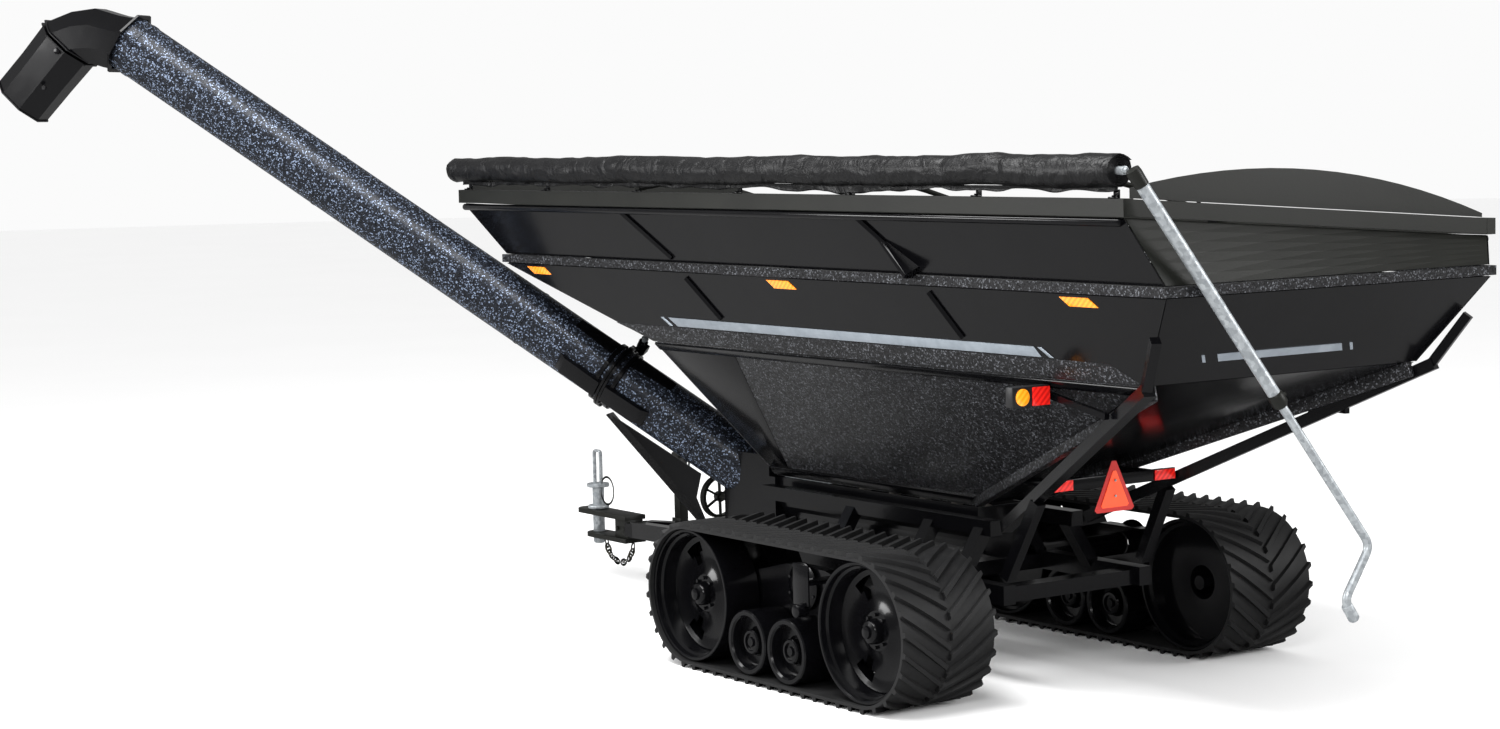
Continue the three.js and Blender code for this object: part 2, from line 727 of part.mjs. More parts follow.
function hitchClevis() {
  const PLATE = 44,
    HALF = 120;
  const body = join(
    block(at(9064, -HALF, 596), at(10020, HALF, 596 + PLATE)),
    block(at(9064, -HALF, 372), at(9860, HALF, 372 + PLATE)),
    block(at(9064, -90, 400), at(9300, 90, 610)),
    rod(at(10020 - HALF, 0, 596), at(10020 - HALF, 0, 596 + PLATE), HALF, 24),
  );
  return cut(body, rod(at(PIN_X, 0, 300), at(PIN_X, 0, 700), 62, 20));
}
add("hitch_clevis", hitchClevis(), SATIN_BLACK);

// Drawbar pin: shank, collar and a flat loop to lift it by.
function hitchPin() {
  const SHANK = 58;
  const handle = cut(
    block(at(PIN_X - 75, -20, 890), at(PIN_X + 75, 20, 1236)),
    block(at(PIN_X - 48, -40, 960), at(PIN_X + 48, 40, 1205)),
  );
  return join(
    rod(at(PIN_X, 0, 300), at(PIN_X, 0, 900), SHANK, 20),
    rod(at(PIN_X, 0, 645), at(PIN_X, 0, 680), 105, 24),
    rod(at(PIN_X, 0, 860), at(PIN_X, 0, 895), 112, 24),
    handle,
  );
}
add("hitch_pin", hitchPin(), ZINC);

// Safety chain, stowed: it hangs in a loop from the lower clevis plate back to the tongue.
function safetyChain() {
  const LINKS = 7,
    WIRE = 15,
    LINK = 50,
    STRETCH = 1.25;
  const droop = new THREE.CatmullRomCurve3([
    at(9600, 0, 288),
    at(9560, 0, 205),
    at(9420, 0, 140),
    at(9280, 0, 150),
    at(9160, 0, 215),
    at(9120, 0, 288),
  ]);
  const links = [];
  for (let i = 0; i < LINKS; i++) {
    const share = i / (LINKS - 1);
    const link = new THREE.TorusGeometry(LINK, WIRE, 6, 9).rotateY(Math.PI / 2).scale(1, 1, STRETCH);
    if (i % 2) link.rotateZ(Math.PI / 2);
    links.push(aim(link, droop.getPointAt(share), droop.getTangentAt(share), at(0, 1, 0)));
  }
  return join(...links);
}
add("safety_chain", safetyChain(), ZINC);

const JACK_X = 8700,
  JACK_Y = -300;
function jackBody() {
  const tube = cut(
    block(at(JACK_X - 50, JACK_Y - 50, 520), at(JACK_X + 50, JACK_Y + 50, 1270)),
    block(at(JACK_X - 42, JACK_Y - 42, 500), at(JACK_X + 42, JACK_Y + 42, 1262)),
  );
  return join(tube, rod(at(JACK_X, JACK_Y + 49, 560), at(JACK_X, -172, 560), 45, 16));
}
add("jack_body", jackBody(), SATIN_BLACK);
add(
  "jack_leg",
  join(
    block(at(JACK_X - 38, JACK_Y - 38, 440), at(JACK_X + 38, JACK_Y + 38, 1150)),
    block(at(JACK_X - 90, JACK_Y - 50, 428), at(JACK_X + 90, JACK_Y + 50, 446)),
  ),
  ZINC,
);

// ---------- rear marking and lamps ----------
const BAR_X = 2150,
  BAR_Z = 1620,
  BAR_HALF = 640,
  BAR_STRUT_Y = 480,
  BAR_STRUT = 460; // length of the struts back to the hopper
add(
  "rear_crossbar",
  join(
    bar(at(BAR_X, BAR_HALF, BAR_Z), at(BAR_X, -BAR_HALF, BAR_Z), 30, 90),
    bar(at(BAR_X + 10, BAR_STRUT_Y, BAR_Z), at(BAR_X + BAR_STRUT, BAR_STRUT_Y, BAR_Z), 60, 60),
    bar(at(BAR_X + 10, -BAR_STRUT_Y, BAR_Z), at(BAR_X + BAR_STRUT, -BAR_STRUT_Y, BAR_Z), 60, 60),
  ),
  GLOSS_BLACK,
);
function truncatedTriangle(half, tip, low, high, x) {
  const right = [[half, low], [half - tip, low - tip]];
  const left = [[-half + tip, low - tip], [-half, low]];
  const outline = [...right, ...left, [-tip, high], [tip, high]];
  const shape = new THREE.Shape(outline.map(([y, z]) => new THREE.Vector2(y, z)));
  const plate = new THREE.ExtrudeGeometry(shape, { depth: 6, bevelEnabled: false });
  return plate.applyMatrix4(
    new THREE.Matrix4().makeBasis(at(0, -1, 0), at(0, 0, 1), at(-1, 0, 0)).setPosition(at(x, 0, 0)),
  );
}
add("slow_vehicle_sign", truncatedTriangle(200, 22, 1400, 1770, BAR_X - 18), ORANGE);

const LAMP_X = 1480,
  LAMP_Z_LEFT = 2430,
  LAMP_Z_RIGHT = 2160;
add(
  "lamp_arm_left",
  join(
    bar(at(760, 1290, 2310), at(LAMP_X - 60, 1285, LAMP_Z_LEFT), 45, 45),
    bar(at(LAMP_X - 60, 1270, LAMP_Z_LEFT), at(LAMP_X - 60, 1640, LAMP_Z_LEFT), 45, 45),
  ),
  GLOSS_BLACK,
);
add(
  "lamp_arm_right",
  join(
    bar(at(900, -1250, 2150), at(LAMP_X - 60, -1290, LAMP_Z_RIGHT), 45, 45),
    bar(at(LAMP_X - 60, -1275, LAMP_Z_RIGHT), at(LAMP_X - 60, -1640, LAMP_Z_RIGHT), 45, 45),
  ),
  GLOSS_BLACK,
);
for (const [word, side, z] of [["left", 1, LAMP_Z_LEFT], ["right", -1, LAMP_Z_RIGHT]]) {
  const y = side * 1510;
  add(
    "lamp_" + word,
    block(at(LAMP_X - 180, y - 175, z - 75), at(LAMP_X - 84, y + 175, z + 75)),
    LAMP,
  );
}

// ---------- roll tarp and crank ----------
const ROLL_Y = 1825,
  ROLL_Z = 4048,
  ROLL_RADIUS = 128,
  ROLL_BORE = 34;
add(
  "tarp_roll",
  pipe(at(10, ROLL_Y, ROLL_Z), at(1, 0, 0), ROLL_RADIUS, ROLL_RADIUS - ROLL_BORE, RIM_FRONT + 40, 20),
  VINYL,
);
add("tarp_tube", rod(at(-70, ROLL_Y, ROLL_Z), at(RIM_FRONT + 90, ROLL_Y, ROLL_Z), 30, 14), ZINC);

const CRANK_TOP = at(-125, ROLL_Y - 10, ROLL_Z - 20),
  CRANK_BEND = at(-600, 114, 1430);
function crankRod() {
  const run = CRANK_BEND.clone().sub(CRANK_TOP);
  const along = (share) => CRANK_TOP.clone().addScaledVector(run, share);
  const UPPER_SHARE = 0.6;
  const throwEnd = at(-600, 366, 1070),
    gripEnd = at(-600, 267, 930);
  return join(
    rod(along(0), along(UPPER_SHARE), 46, 16),
    rod(along(UPPER_SHARE - 0.01), along(1), 32, 14),
    rod(along(0.995), throwEnd, 32, 14),
    new THREE.SphereGeometry(34, 12, 8).translate(CRANK_BEND.x, CRANK_BEND.y, CRANK_BEND.z),
    new THREE.SphereGeometry(34, 12, 8).translate(throwEnd.x, throwEnd.y, throwEnd.z),
    rod(throwEnd, gripEnd, 40, 14),
  );
}
add("crank_rod", crankRod(), ZINC);

// ---------- tracks ----------
const WHEEL_HALF = 400,
  BEAM_HALF = 60;
function wheel(x, y, z, radius, wall, sides, side) {
  const CORE = 60,
    GUIDE = BEAM_HALF + 18,
    DISH = 190;
  const profile = [
    [0, -WHEEL_HALF],
    [radius, -WHEEL_HALF],
    [radius, -GUIDE],
    [CORE, -GUIDE],
    [CORE, GUIDE],
    [radius, GUIDE],
    [radius, WHEEL_HALF],
    [radius - wall, WHEEL_HALF],
    [radius - wall, WHEEL_HALF - DISH],
    [0, WHEEL_HALF - DISH],
  ];
  return turned(profile, at(x, y, z), at(0, side, 0), sides);
}

function belt(side) {
  const loop = (radius, Kind) => {
    const path = new Kind();
    path.absarc(TRACK_FRONT_X, BELT_RADIUS, radius, -Math.PI / 2, Math.PI / 2, false);
    path.absarc(TRACK_REAR_X, BELT_RADIUS, radius, Math.PI / 2, (3 * Math.PI) / 2, false);
    path.closePath();
    return path;
  };
  const shape = loop(BELT_RADIUS, THREE.Shape);
  shape.holes.push(loop(WHEEL_RADIUS + 3, THREE.Path));
  const band = new THREE.ExtrudeGeometry(shape, {
    depth: TRACK_OUTER - TRACK_INNER,
    curveSegments: 14,
    bevelEnabled: false,
  });
  return band.rotateX(Math.PI / 2).translate(0, side > 0 ? TRACK_OUTER : -TRACK_INNER, 0);
}

function trackFrame(side) {
  const middle = (side * (TRACK_OUTER + TRACK_INNER)) / 2;
  const low = middle - BEAM_HALF,
    high = middle + BEAM_HALF;
  const plate = sidePlate(
    [
      [TRACK_REAR_X - 110, 520],
      [ROLLER_REAR_X - 120, 230],
      [ROLLER_FRONT_X + 120, 230],
      [TRACK_FRONT_X + 110, 520],
      [TRACK_FRONT_X + 110, 690],
      [PIVOT_X + 260, 930],
      [PIVOT_X - 260, 930],
      [TRACK_REAR_X - 110, 690],
    ],
    low,
    high,
  );
  const HOLE = 64;
  const holes = [
    [TRACK_FRONT_X, BELT_RADIUS, HOLE],
    [TRACK_REAR_X, BELT_RADIUS, HOLE],
    [ROLLER_FRONT_X, BELT_RADIUS - WHEEL_RADIUS + ROLLER_RADIUS, HOLE],
    [ROLLER_REAR_X, BELT_RADIUS - WHEEL_RADIUS + ROLLER_RADIUS, HOLE],
    [PIVOT_X, PIVOT_Z, AXLE + 4],
  ].map(([x, z, radius]) => rod(at(x, low - 20, z), at(x, high + 20, z), radius, 16));
  return cut(plate, ...holes);
}

for (const [word, side] of [["left", 1], ["right", -1]]) {
  const y = (side * (TRACK_OUTER + TRACK_INNER)) / 2;
  const rollerZ = BELT_RADIUS - WHEEL_RADIUS + ROLLER_RADIUS;
  add(word + "_belt", belt(side), RUBBER);
  add(word + "_front_wheel", wheel(TRACK_FRONT_X, y, BELT_RADIUS, WHEEL_RADIUS, 60, 26, side), GLOSS_BLACK);
  add(word + "_rear_wheel", wheel(TRACK_REAR_X, y, BELT_RADIUS, WHEEL_RADIUS, 60, 26, side), GLOSS_BLACK);
  add(word + "_front_roller", wheel(ROLLER_FRONT_X, y, rollerZ, ROLLER_RADIUS, 50, 18, side), GLOSS_BLACK);
  add(word + "_rear_roller", wheel(ROLLER_REAR_X, y, rollerZ, ROLLER_RADIUS, 50, 18, side), GLOSS_BLACK);
  add(word + "_track_frame", trackFrame(side), GLOSS_BLACK);
}

export default cart;
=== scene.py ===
import math

import bmesh
import bpy
from mathutils import Matrix, Quaternion, Vector, noise


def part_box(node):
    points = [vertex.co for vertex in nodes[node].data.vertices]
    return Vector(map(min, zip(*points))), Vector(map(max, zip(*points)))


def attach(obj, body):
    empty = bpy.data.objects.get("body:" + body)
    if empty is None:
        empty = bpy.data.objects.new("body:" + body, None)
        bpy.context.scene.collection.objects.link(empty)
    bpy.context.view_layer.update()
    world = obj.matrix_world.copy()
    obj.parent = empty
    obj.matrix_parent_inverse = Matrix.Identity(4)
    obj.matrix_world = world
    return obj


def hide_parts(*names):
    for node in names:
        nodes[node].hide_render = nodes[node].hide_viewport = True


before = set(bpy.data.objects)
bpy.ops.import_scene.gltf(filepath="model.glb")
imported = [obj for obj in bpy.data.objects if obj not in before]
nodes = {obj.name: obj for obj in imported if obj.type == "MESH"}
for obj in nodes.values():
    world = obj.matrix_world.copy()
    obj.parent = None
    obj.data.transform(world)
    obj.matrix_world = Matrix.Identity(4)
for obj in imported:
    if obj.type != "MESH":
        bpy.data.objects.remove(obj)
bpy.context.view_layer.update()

# ---------------------------------------------------------------- studio
# The cart stands on a pale seamless floor under large soft lamps, seen from its rear left corner from
# about 24 m and a little over its rim. Places below are laid out from the middle of the rear rim.
rail_low, rail_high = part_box("rim_rail")
RAIL_OVERHANG = 0.030
REAR_RIM = Vector((rail_low.x + RAIL_OVERHANG, (rail_low.y + rail_high.y) / 2, 0))


def spot(x, y, z):
    return REAR_RIM + Vector((x, y, z))


VIEW_YAW, VIEW_PITCH, VIEW_ROLL = math.radians(-34.517), math.radians(-4.865), math.radians(-1.269)
view = bpy.data.cameras.new("view")
view.lens, view.sensor_width, view.clip_end = 67.816, 36, 400
camera = bpy.data.objects.new("view", view)
camera.location = spot(-14.054, 14.504, 4.409)
ahead = Vector((
    math.cos(VIEW_PITCH) * math.cos(VIEW_YAW),
    math.cos(VIEW_PITCH) * math.sin(VIEW_YAW),
    math.sin(VIEW_PITCH),
))
camera.rotation_mode = "QUATERNION"
camera.rotation_quaternion = ahead.to_track_quat("-Z", "Y") @ Quaternion((0, 0, 1), VIEW_ROLL)
bpy.context.collection.objects.link(camera)
bpy.context.scene.camera = camera


def lamp(name, place, towards, across, along, power):
    light = bpy.data.lights.new(name, "AREA")
    light.shape, light.size, light.size_y, light.energy = "RECTANGLE", across, along, power
    lit = bpy.data.objects.new(name, light)
    lit.location = place
    lit.rotation_mode = "QUATERNION"
    lit.rotation_quaternion = (towards - place).to_track_quat("-Z", "Y")
    bpy.context.collection.objects.link(lit)


lamp("overhead", spot(4, 6, 13), spot(4, 0, 1), 14, 5, 2600)
lamp("left_front", spot(13, 15, 7), spot(5, 0, 2.5), 8, 4, 1500)
lamp("left_rear", spot(-9, 12, 9), spot(3, 0, 2), 6, 5, 1100)
lamp("right_rear", spot(-9, -9, 7), spot(1, 0, 2), 6, 4, 900)


def linear(code):
    parts = [int(code[i:i + 2], 16) / 255 for i in (1, 3, 5)]
    return tuple(c / 12.92 if c <= 0.04045 else ((c + 0.055) / 1.055) ** 2.4 for c in parts) + (1,)


def add_node(tree, kind, settings=(), values=(), links=()):
    made = tree.nodes.new(kind)
    for key, value in dict(settings).items():
        setattr(made, key, value)
    for socket, value in dict(values).items():
        made.inputs[socket].default_value = value
    for socket, source in dict(links).items():
        tree.links.new(source, made.inputs[socket])
    return made


def new_material(name, values):
    material = bpy.data.materials.new(name)
    material.use_nodes = True
    tree = material.node_tree
    tree.nodes.clear()
    shader = add_node(tree, "ShaderNodeBsdfPrincipled", values=values)
    add_node(tree, "ShaderNodeOutputMaterial", links={"Surface": shader.outputs[0]})
    where = add_node(tree, "ShaderNodeTexCoord").outputs["Object"]
    return material, tree, shader, where


sky = bpy.data.worlds.new("studio")
sky.use_nodes = True
shell = sky.node_tree.nodes["Background"]
shell.inputs["Color"].default_value = linear("#fbfbfb")
# the paint mirrors dark flats hung round the white tent, so its gloss stays black between the lamps
GLOSSY_RAY_DIMMING = -0.72
rays = add_node(sky.node_tree, "ShaderNodeLightPath")
dimmer = add_node(
    sky.node_tree, "ShaderNodeMath", {"operation": "MULTIPLY_ADD"}, {1: GLOSSY_RAY_DIMMING, 2: 1.0},
    {0: rays.outputs["Is Glossy Ray"]},
)
sky.node_tree.links.new(dimmer.outputs[0], shell.inputs["Strength"])
bpy.context.scene.world = sky
bpy.context.scene.view_settings.view_transform = "Standard"

# Seamless paper: almost white and matt, with a faint unevenness.
PAPER_RADIUS = 120
paper, tree, shader, where = new_material("seamless_paper", {"Roughness": 0.9, "Specular IOR Level": 0.1})
cloud = add_node(tree, "ShaderNodeTexNoise", values={"Scale": 0.3, "Detail": 2}, links={"Vector": where})
tint = add_node(tree, "ShaderNodeMix", {"data_type": "RGBA"}, links={"Factor": cloud.outputs["Fac"]})
tint.inputs["A"].default_value, tint.inputs["B"].default_value = linear("#fafafa"), linear("#fdfdfd")
# for glossy rays the paper's colour is dimmed the same way: painted shade that keeps its reflections in the
# paint dark
rays = add_node(tree, "ShaderNodeLightPath")
glossy_ray_shade = add_node(
    tree,
    "ShaderNodeMath",
    {"operation": "MULTIPLY_ADD"},
    {1: GLOSSY_RAY_DIMMING, 2: 1.0},
    {0: rays.outputs["Is Glossy Ray"]},
)
painted_reflection_shade = add_node(tree, "ShaderNodeMix", {"data_type": "RGBA", "blend_type": "MULTIPLY"}, {"Factor": 1.0})
tree.links.new(tint.outputs["Result"], painted_reflection_shade.inputs["A"])
tree.links.new(glossy_ray_shade.outputs[0], painted_reflection_shade.inputs["B"])
tree.links.new(painted_reflection_shade.outputs["Result"], shader.inputs["Base Color"])
bm = bmesh.new()
bmesh.ops.create_circle(bm, cap_ends=True, segments=64, radius=PAPER_RADIUS)
sweep = bpy.data.meshes.new("floor")
bm.to_mesh(sweep)
bm.free()
sweep.materials.append(paper)
floor = bpy.data.objects.new("floor", sweep)
FLOOR_DROP = 0.002  # just clear of the belts' lugs
floor.location.z = -FLOOR_DROP
bpy.context.collection.objects.link(floor)

# ---------------------------------------------------------------- tank walls
# The tank is folded from 6 mm sheet and sprayed gloss black: a thick clear topcoat over black enamel,
# so it mirrors the lamps in soft streaks, a little wavy from the sheet and from the spray's orange peel.
def mottled_material(name, values, mottle, tones, polish=None, relief=()):
    """Colour and polish follow one noise; relief layers, coarse first, follow it or a noise of their own."""
    material, tree, shader, where = new_material(name, values)
    cloud = add_node(tree, "ShaderNodeTexNoise", values=mottle, links={"Vector": where}).outputs["Fac"]
    shade = add_node(tree, "ShaderNodeMix", {"data_type": "RGBA"}, links={"Factor": cloud})
    shade.inputs["A"].default_value, shade.inputs["B"].default_value = linear(tones[0]), linear(tones[1])
    tree.links.new(shade.outputs["Result"], shader.inputs["Base Color"])
    if polish:
        spread = {"To Min": polish[0], "To Max": polish[1]}
        rough = add_node(tree, "ShaderNodeMapRange", values=spread, links={"Value": cloud})
        tree.links.new(rough.outputs["Result"], shader.inputs["Roughness"])
    under = {}
    for pattern, strength, distance in relief:
        height = cloud
        if pattern:
            own = add_node(tree, "ShaderNodeTexNoise", values=pattern, links={"Vector": where})
            height = own.outputs["Fac"]
        depth = {"Strength": strength, "Distance": distance}
        bump = add_node(tree, "ShaderNodeBump", values=depth, links={"Height": height, **under})
        under = {"Normal": bump.outputs["Normal"]}
    if under:
        tree.links.new(under["Normal"], shader.inputs["Normal"])
    return material


GLOSS_IOR = 1.5
SHEET_WAVE = 1 / 0.9  # one swell about every 0.9 m
PEEL = 1 / 0.035  # the peel is drawn 35 mm coarse, because the real 3 mm would not show
gloss = mottled_material(
    "gloss_black_enamel",
    {"IOR": GLOSS_IOR, "Coat Weight": 0.08, "Coat Roughness": 0.05, "Specular IOR Level": 0.2},
    {"Scale": SHEET_WAVE, "Detail": 3},
    ("#040405", "#09090b"),
    (0.10, 0.26),
    ((None, 0.30, 0.02), ({"Scale": PEEL, "Detail": 2}, 0.06, 0.002)),
)

# The ledge, hopper and auger tube carry black paint with coarse aluminium flake under a thin clear
# coat. It looks charcoal, with fine bright specks that catch the light one by one.
FLAKE = 1 / 0.011  # flakes are drawn 11 mm across, since real ones of 0.3 mm would not show


def flake_material(name, ground, mottle, glint):
    material, tree, shader, where = new_material(
        name, {"Metallic": 0.35, "Specular IOR Level": 0.3, "Coat Weight": 0.06, "Coat Roughness": 0.12}
    )
    cells = add_node(tree, "ShaderNodeTexVoronoi", {"feature": "F1"}, {"Scale": FLAKE}, {"Vector": where})
    speck = add_node(tree, "ShaderNodeSeparateColor", links={"Color": cells.outputs["Color"]})
    bright = add_node(tree, "ShaderNodeValToRGB", links={"Fac": speck.outputs["Red"]})
    stops = bright.color_ramp.elements
    stops[0].position, stops[0].color = 0.0, linear(ground)
    stops[1].position, stops[1].color = 1.0, linear(glint)
    stops.new(0.80).color = linear(mottle)
    spread, depth = {"To Min": 0.25, "To Max": 0.5}, {"Strength": 0.5, "Distance": 0.003}
    rough = add_node(tree, "ShaderNodeMapRange", values=spread, links={"Value": speck.outputs["Green"]})
    grit = add_node(tree, "ShaderNodeBump", values=depth, links={"Height": speck.outputs["Blue"]})
    tree.links.new(bright.outputs["Color"], shader.inputs["Base Color"])
    tree.links.new(rough.outputs["Result"], shader.inputs["Roughness"])
    tree.links.new(grit.outputs["Normal"], shader.inputs["Normal"])
    return material


flake = flake_material("metal_flake_black", "#131314", "#232325", "#64666b")
blue_flake = flake_material("metal_flake_blue_black", "#0b0d11", "#1c2029", "#8290a8")

# The rim, the end caps and the upper end walls are satin black with a faint olive cast, dusted by
# chaff: half-matt enamel over the same sheet.
satin = mottled_material(
    "satin_olive_black_enamel",
    {"IOR": GLOSS_IOR, "Specular IOR Level": 0.3},
    {"Scale": 2.2, "Detail": 6},
    ("#0e0f0d", "#181914"),
    (0.34, 0.5),
    (({"Scale": 60, "Detail": 2}, 0.12, 0.003),),
)


def paint(material, *names):
    for name in names:
        nodes[name].data.materials.clear()
        nodes[name].data.materials.append(material)


paint(gloss, "left_upper_side", "right_upper_side", "left_lower_side", "right_lower_side", "rear_lower_wall")
paint(gloss, "front_lower_wall", "hopper_rear", "hopper_front", "sump_trough", "auger_support")
paint(gloss, "main_frame", "tongue_frame", "frame_tube_left", "frame_tube_right")
paint(gloss, "lamp_arm_left", "lamp_arm_right")
paint(flake, "hopper_left", "hopper_right", "mid_ledge")
paint(satin, "rim_rail", "rear_upper_wall", "front_upper_wall", "rear_end_cap", "front_end_cap")
paint(satin, "tarp_bow_rear", "tarp_bow_front")


# ---------------------------------------------------------------- wall trim
# A rolled bead runs under each rail. A flake band and a gloss panel of 4 mm sheet lie over the lower
# walls, a wide angle closes the hopper's rear corner, and a pressed gusset stiffens the rear rib.
UP, AHEAD = Vector((0, 0, 1)), Vector((1, 0, 0))


def bevel_in(bm, edges, offset):
    rounding = {"offset_type": "OFFSET", "segments": 2, "profile": 0.5, "affect": "EDGES", "material": -1}
    bmesh.ops.bevel(bm, geom=edges, offset=offset, **rounding)


def cube_in(bm, matrix, bevel):
    made = bmesh.ops.create_cube(bm, size=1, matrix=matrix)
    if bevel:
        bevel_in(bm, list({e for v in made["verts"] for e in v.link_edges}), bevel)


def hull_in(bm, low, high, bevel=0.004):
    low, high = Vector(low), Vector(high)
    cube_in(bm, Matrix.Translation((low + high) / 2) @ Matrix.Diagonal((*(high - low), 1)), bevel)


def aimed(start, end, up=UP):
    along = (end - start).normalized()
    side = up.cross(along)
    if side.length < 1e-4:
        side = AHEAD.cross(along)
    side.normalize()
    turn = Matrix((side, along.cross(side), along)).transposed().to_4x4()
    return Matrix.Translation(start) @ turn


def bar_in(bm, start, end, width, height, bevel=0.006):
    length = (end - start).length
    place = aimed(start, end) @ Matrix.Translation((0, 0, length / 2))
    cube_in(bm, place @ Matrix.Diagonal((width, height, length, 1)), bevel)


def rod_in(bm, start, end, radius, sides=20, bevel=0.0):
    length = (end - start).length
    place = aimed(start, end) @ Matrix.Translation((0, 0, length / 2))
    made = bmesh.ops.create_cone(
        bm, cap_ends=True, segments=sides, radius1=radius, radius2=radius, depth=length, matrix=place
    )
    if bevel:
        rims = list({e for v in made["verts"] for e in v.link_edges if len(e.link_faces) == 2
                     and any(len(f.verts) > 4 for f in e.link_faces)})
        bevel_in(bm, rims, bevel)


def washer(inner, outer, low, high):
    """The closed outline of a flat ring, for turned_in."""
    return [(inner, low), (outer, low), (outer, high), (inner, high), (inner, low)]


def turned_in(bm, profile, origin, axis, steps=40):
    """A turned piece from (radius, distance along the axis) pairs; a closed outline repeats its first."""
    place = aimed(origin, origin + axis)
    closed = profile[0] == profile[-1]
    points = profile[:-1] if closed else profile
    verts = [bm.verts.new(place @ Vector((radius, 0, along))) for radius, along in points]
    pairs = list(zip(verts, verts[1:])) + ([(verts[-1], verts[0])] if closed else [])
    edges = [bm.edges.new(pair) for pair in pairs]
    before = set(bm.verts) - set(verts)
    full_turn = {"cent": origin, "axis": axis.normalized(), "angle": 2 * math.pi, "steps": steps}
    bmesh.ops.spin(bm, geom=verts + edges, use_merge=True, **full_turn)
    bmesh.ops.remove_doubles(bm, verts=[v for v in bm.verts if v not in before], dist=1e-5)


def plate_in(bm, outline, depth, bevel=0.0):
    """A flat plate from its outline's corners, thickened along its own normal."""
    face = bm.faces.new([bm.verts.new(corner) for corner in outline])
    face.normal_update()
    normal = face.normal.copy()
    made = bmesh.ops.extrude_face_region(bm, geom=[face])
    moved = [v for v in made["geom"] if isinstance(v, bmesh.types.BMVert)]
    bmesh.ops.translate(bm, verts=moved, vec=normal * depth)
    if bevel:
        bevel_in(bm, list({e for v in moved for e in v.link_edges}), bevel)


def piece(name, bm, body, material, sharp=35):
    bmesh.ops.recalc_face_normals(bm, faces=bm.faces)
    mesh = bpy.data.meshes.new(name)
    bm.to_mesh(mesh)
    bm.free()
    mesh.materials.append(material)
    mesh.shade_smooth()
    mesh.set_sharp_from_angle(angle=math.radians(sharp))
    made = bpy.data.objects.new(name, mesh)
    bpy.context.collection.objects.link(made)
    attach(made, body)
    return made


RIM_HALF, LEDGE_HALF, SKIRT_HALF, FOOT_HALF = 1.790, 1.598, 1.340, 0.285
LOWER_HEAD, SKIRT_Z, HOPPER_HEAD, HOPPER_FOOT = 3.186, 2.555, 2.548, 1.322
SKIN_GAP = 0.0045  # trim stands this far off the middle of the 6 mm sheet under it


def on_lower_wall(side, x, z, lift=SKIN_GAP):
    slope = (LEDGE_HALF - SKIRT_HALF) / (LOWER_HEAD - SKIRT_Z)
    out = Vector((0, side, -slope)).normalized()
    return spot(x, side * (SKIRT_HALF + (z - SKIRT_Z) * slope), z) + out * lift


def on_hopper(side, x, z, lift=SKIN_GAP):
    slope = (SKIRT_HALF - 0.006 - FOOT_HALF) / (HOPPER_HEAD - HOPPER_FOOT)
    out = Vector((0, side, -slope)).normalized()
    return spot(x, side * (FOOT_HALF + (z - HOPPER_FOOT) * slope), z) + out * lift


def facing(side, outline):
    return outline[::-1] if side > 0 else outline


TRIM, BEAD = 0.004, 0.030
UPPER_HEAD, GUSSET_FOOT = 4.060, LEDGE_HALF - 0.010
GUSSET = ((2.990, 3.700, 0.020, 0.018), (2.470, 3.290, 0.125, 0.062))  # x, z, depth and half width
for word, side in (("left", 1), ("right", -1)):
    bm = bmesh.new()
    band = [(7.05, 2.700), (0.60, 2.700), (0.33, 2.562), (6.52, 2.562)]
    plate_in(bm, facing(side, [on_lower_wall(side, x, z) for x, z in band]), TRIM, 0.001)
    piece(word + "_skirt_band", bm, "cart", flake)

    bm = bmesh.new()
    corner = [(6.52, 2.530), (5.36, 2.530), (5.98, 1.345), (6.21, 1.345)]
    plate_in(bm, facing(side, [on_hopper(side, x, z) for x, z in corner]), TRIM, 0.001)
    heads = [(6.53, 2.545), (0.34, 2.545), (0.40, 2.490), (6.515, 2.490)]
    plate_in(bm, facing(side, [on_hopper(side, x, z, 0.004) for x, z in heads]), 0.020, 0.004)
    # the gloss strip along the rear edge stands in for the shadow gap there, so its black is painted shade
    slope = [(0.42, 2.492), (0.56, 2.492), (3.62, 1.345), (3.48, 1.345)]
    plate_in(bm, facing(side, [on_hopper(side, x, z, 0.004) for x, z in slope]), 0.022, 0.004)
    foot = [(6.21, 1.420), (3.36, 1.420), (3.50, 1.345), (6.22, 1.345)]
    plate_in(bm, facing(side, [on_hopper(side, x, z, 0.004) for x, z in foot]), 0.022, 0.004)
    piece(word + "_hopper_edge_and_painted_shadow_strip", bm, "cart", gloss)

    # a wide angle closes the corner where the hopper's side and rear slopes meet
    head, tail = on_hopper(side, 0.30, 2.500, -0.010), on_hopper(side, 3.395, 1.372, -0.010)
    bm = bmesh.new()
    bar_in(bm, head, tail, 0.075, 0.125, 0.010)
    piece(word + "_hopper_corner", bm, "cart", flake)

    # the rear rib is a pressed gusset, thin under the rail and deep where it lands on the ledge
    rise = (RIM_HALF - GUSSET_FOOT) / (UPPER_HEAD - LOWER_HEAD)
    out = Vector((0, side, -rise)).normalized()
    bm = bmesh.new()
    rings = []
    for x, z, deep, wide in GUSSET:
        base = spot(x, side * (GUSSET_FOOT + (z - LOWER_HEAD) * rise), z) + out * 0.004
        across = Vector((0.62, 0, -0.78)) * wide
        crest = base + out * deep
        corners = (base + across, crest + across * 0.3, crest - across * 0.3, base - across)
        made = [bm.verts.new(corner) for corner in corners]
        rings.append([bm.edges.new((made[k], made[(k + 1) % 4])) for k in range(4)])
    bmesh.ops.bridge_loops(bm, edges=rings[0] + rings[1])
    for ring in rings:
        bmesh.ops.contextual_create(bm, geom=ring)
    piece(word + "_rib_gusset", bm, "cart", gloss)

    # the bead
    top = rail_high.z - 0.060 if side > 0 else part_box("right_upper_side")[1].z + 0.069
    bm = bmesh.new()
    rod_in(bm, spot(0.03, side * 1.800, top - 0.098), spot(9.02, side * 1.800, top - 0.098), BEAD, 20, 0.008)
    piece(word + "_rim_bead", bm, "cart", gloss)

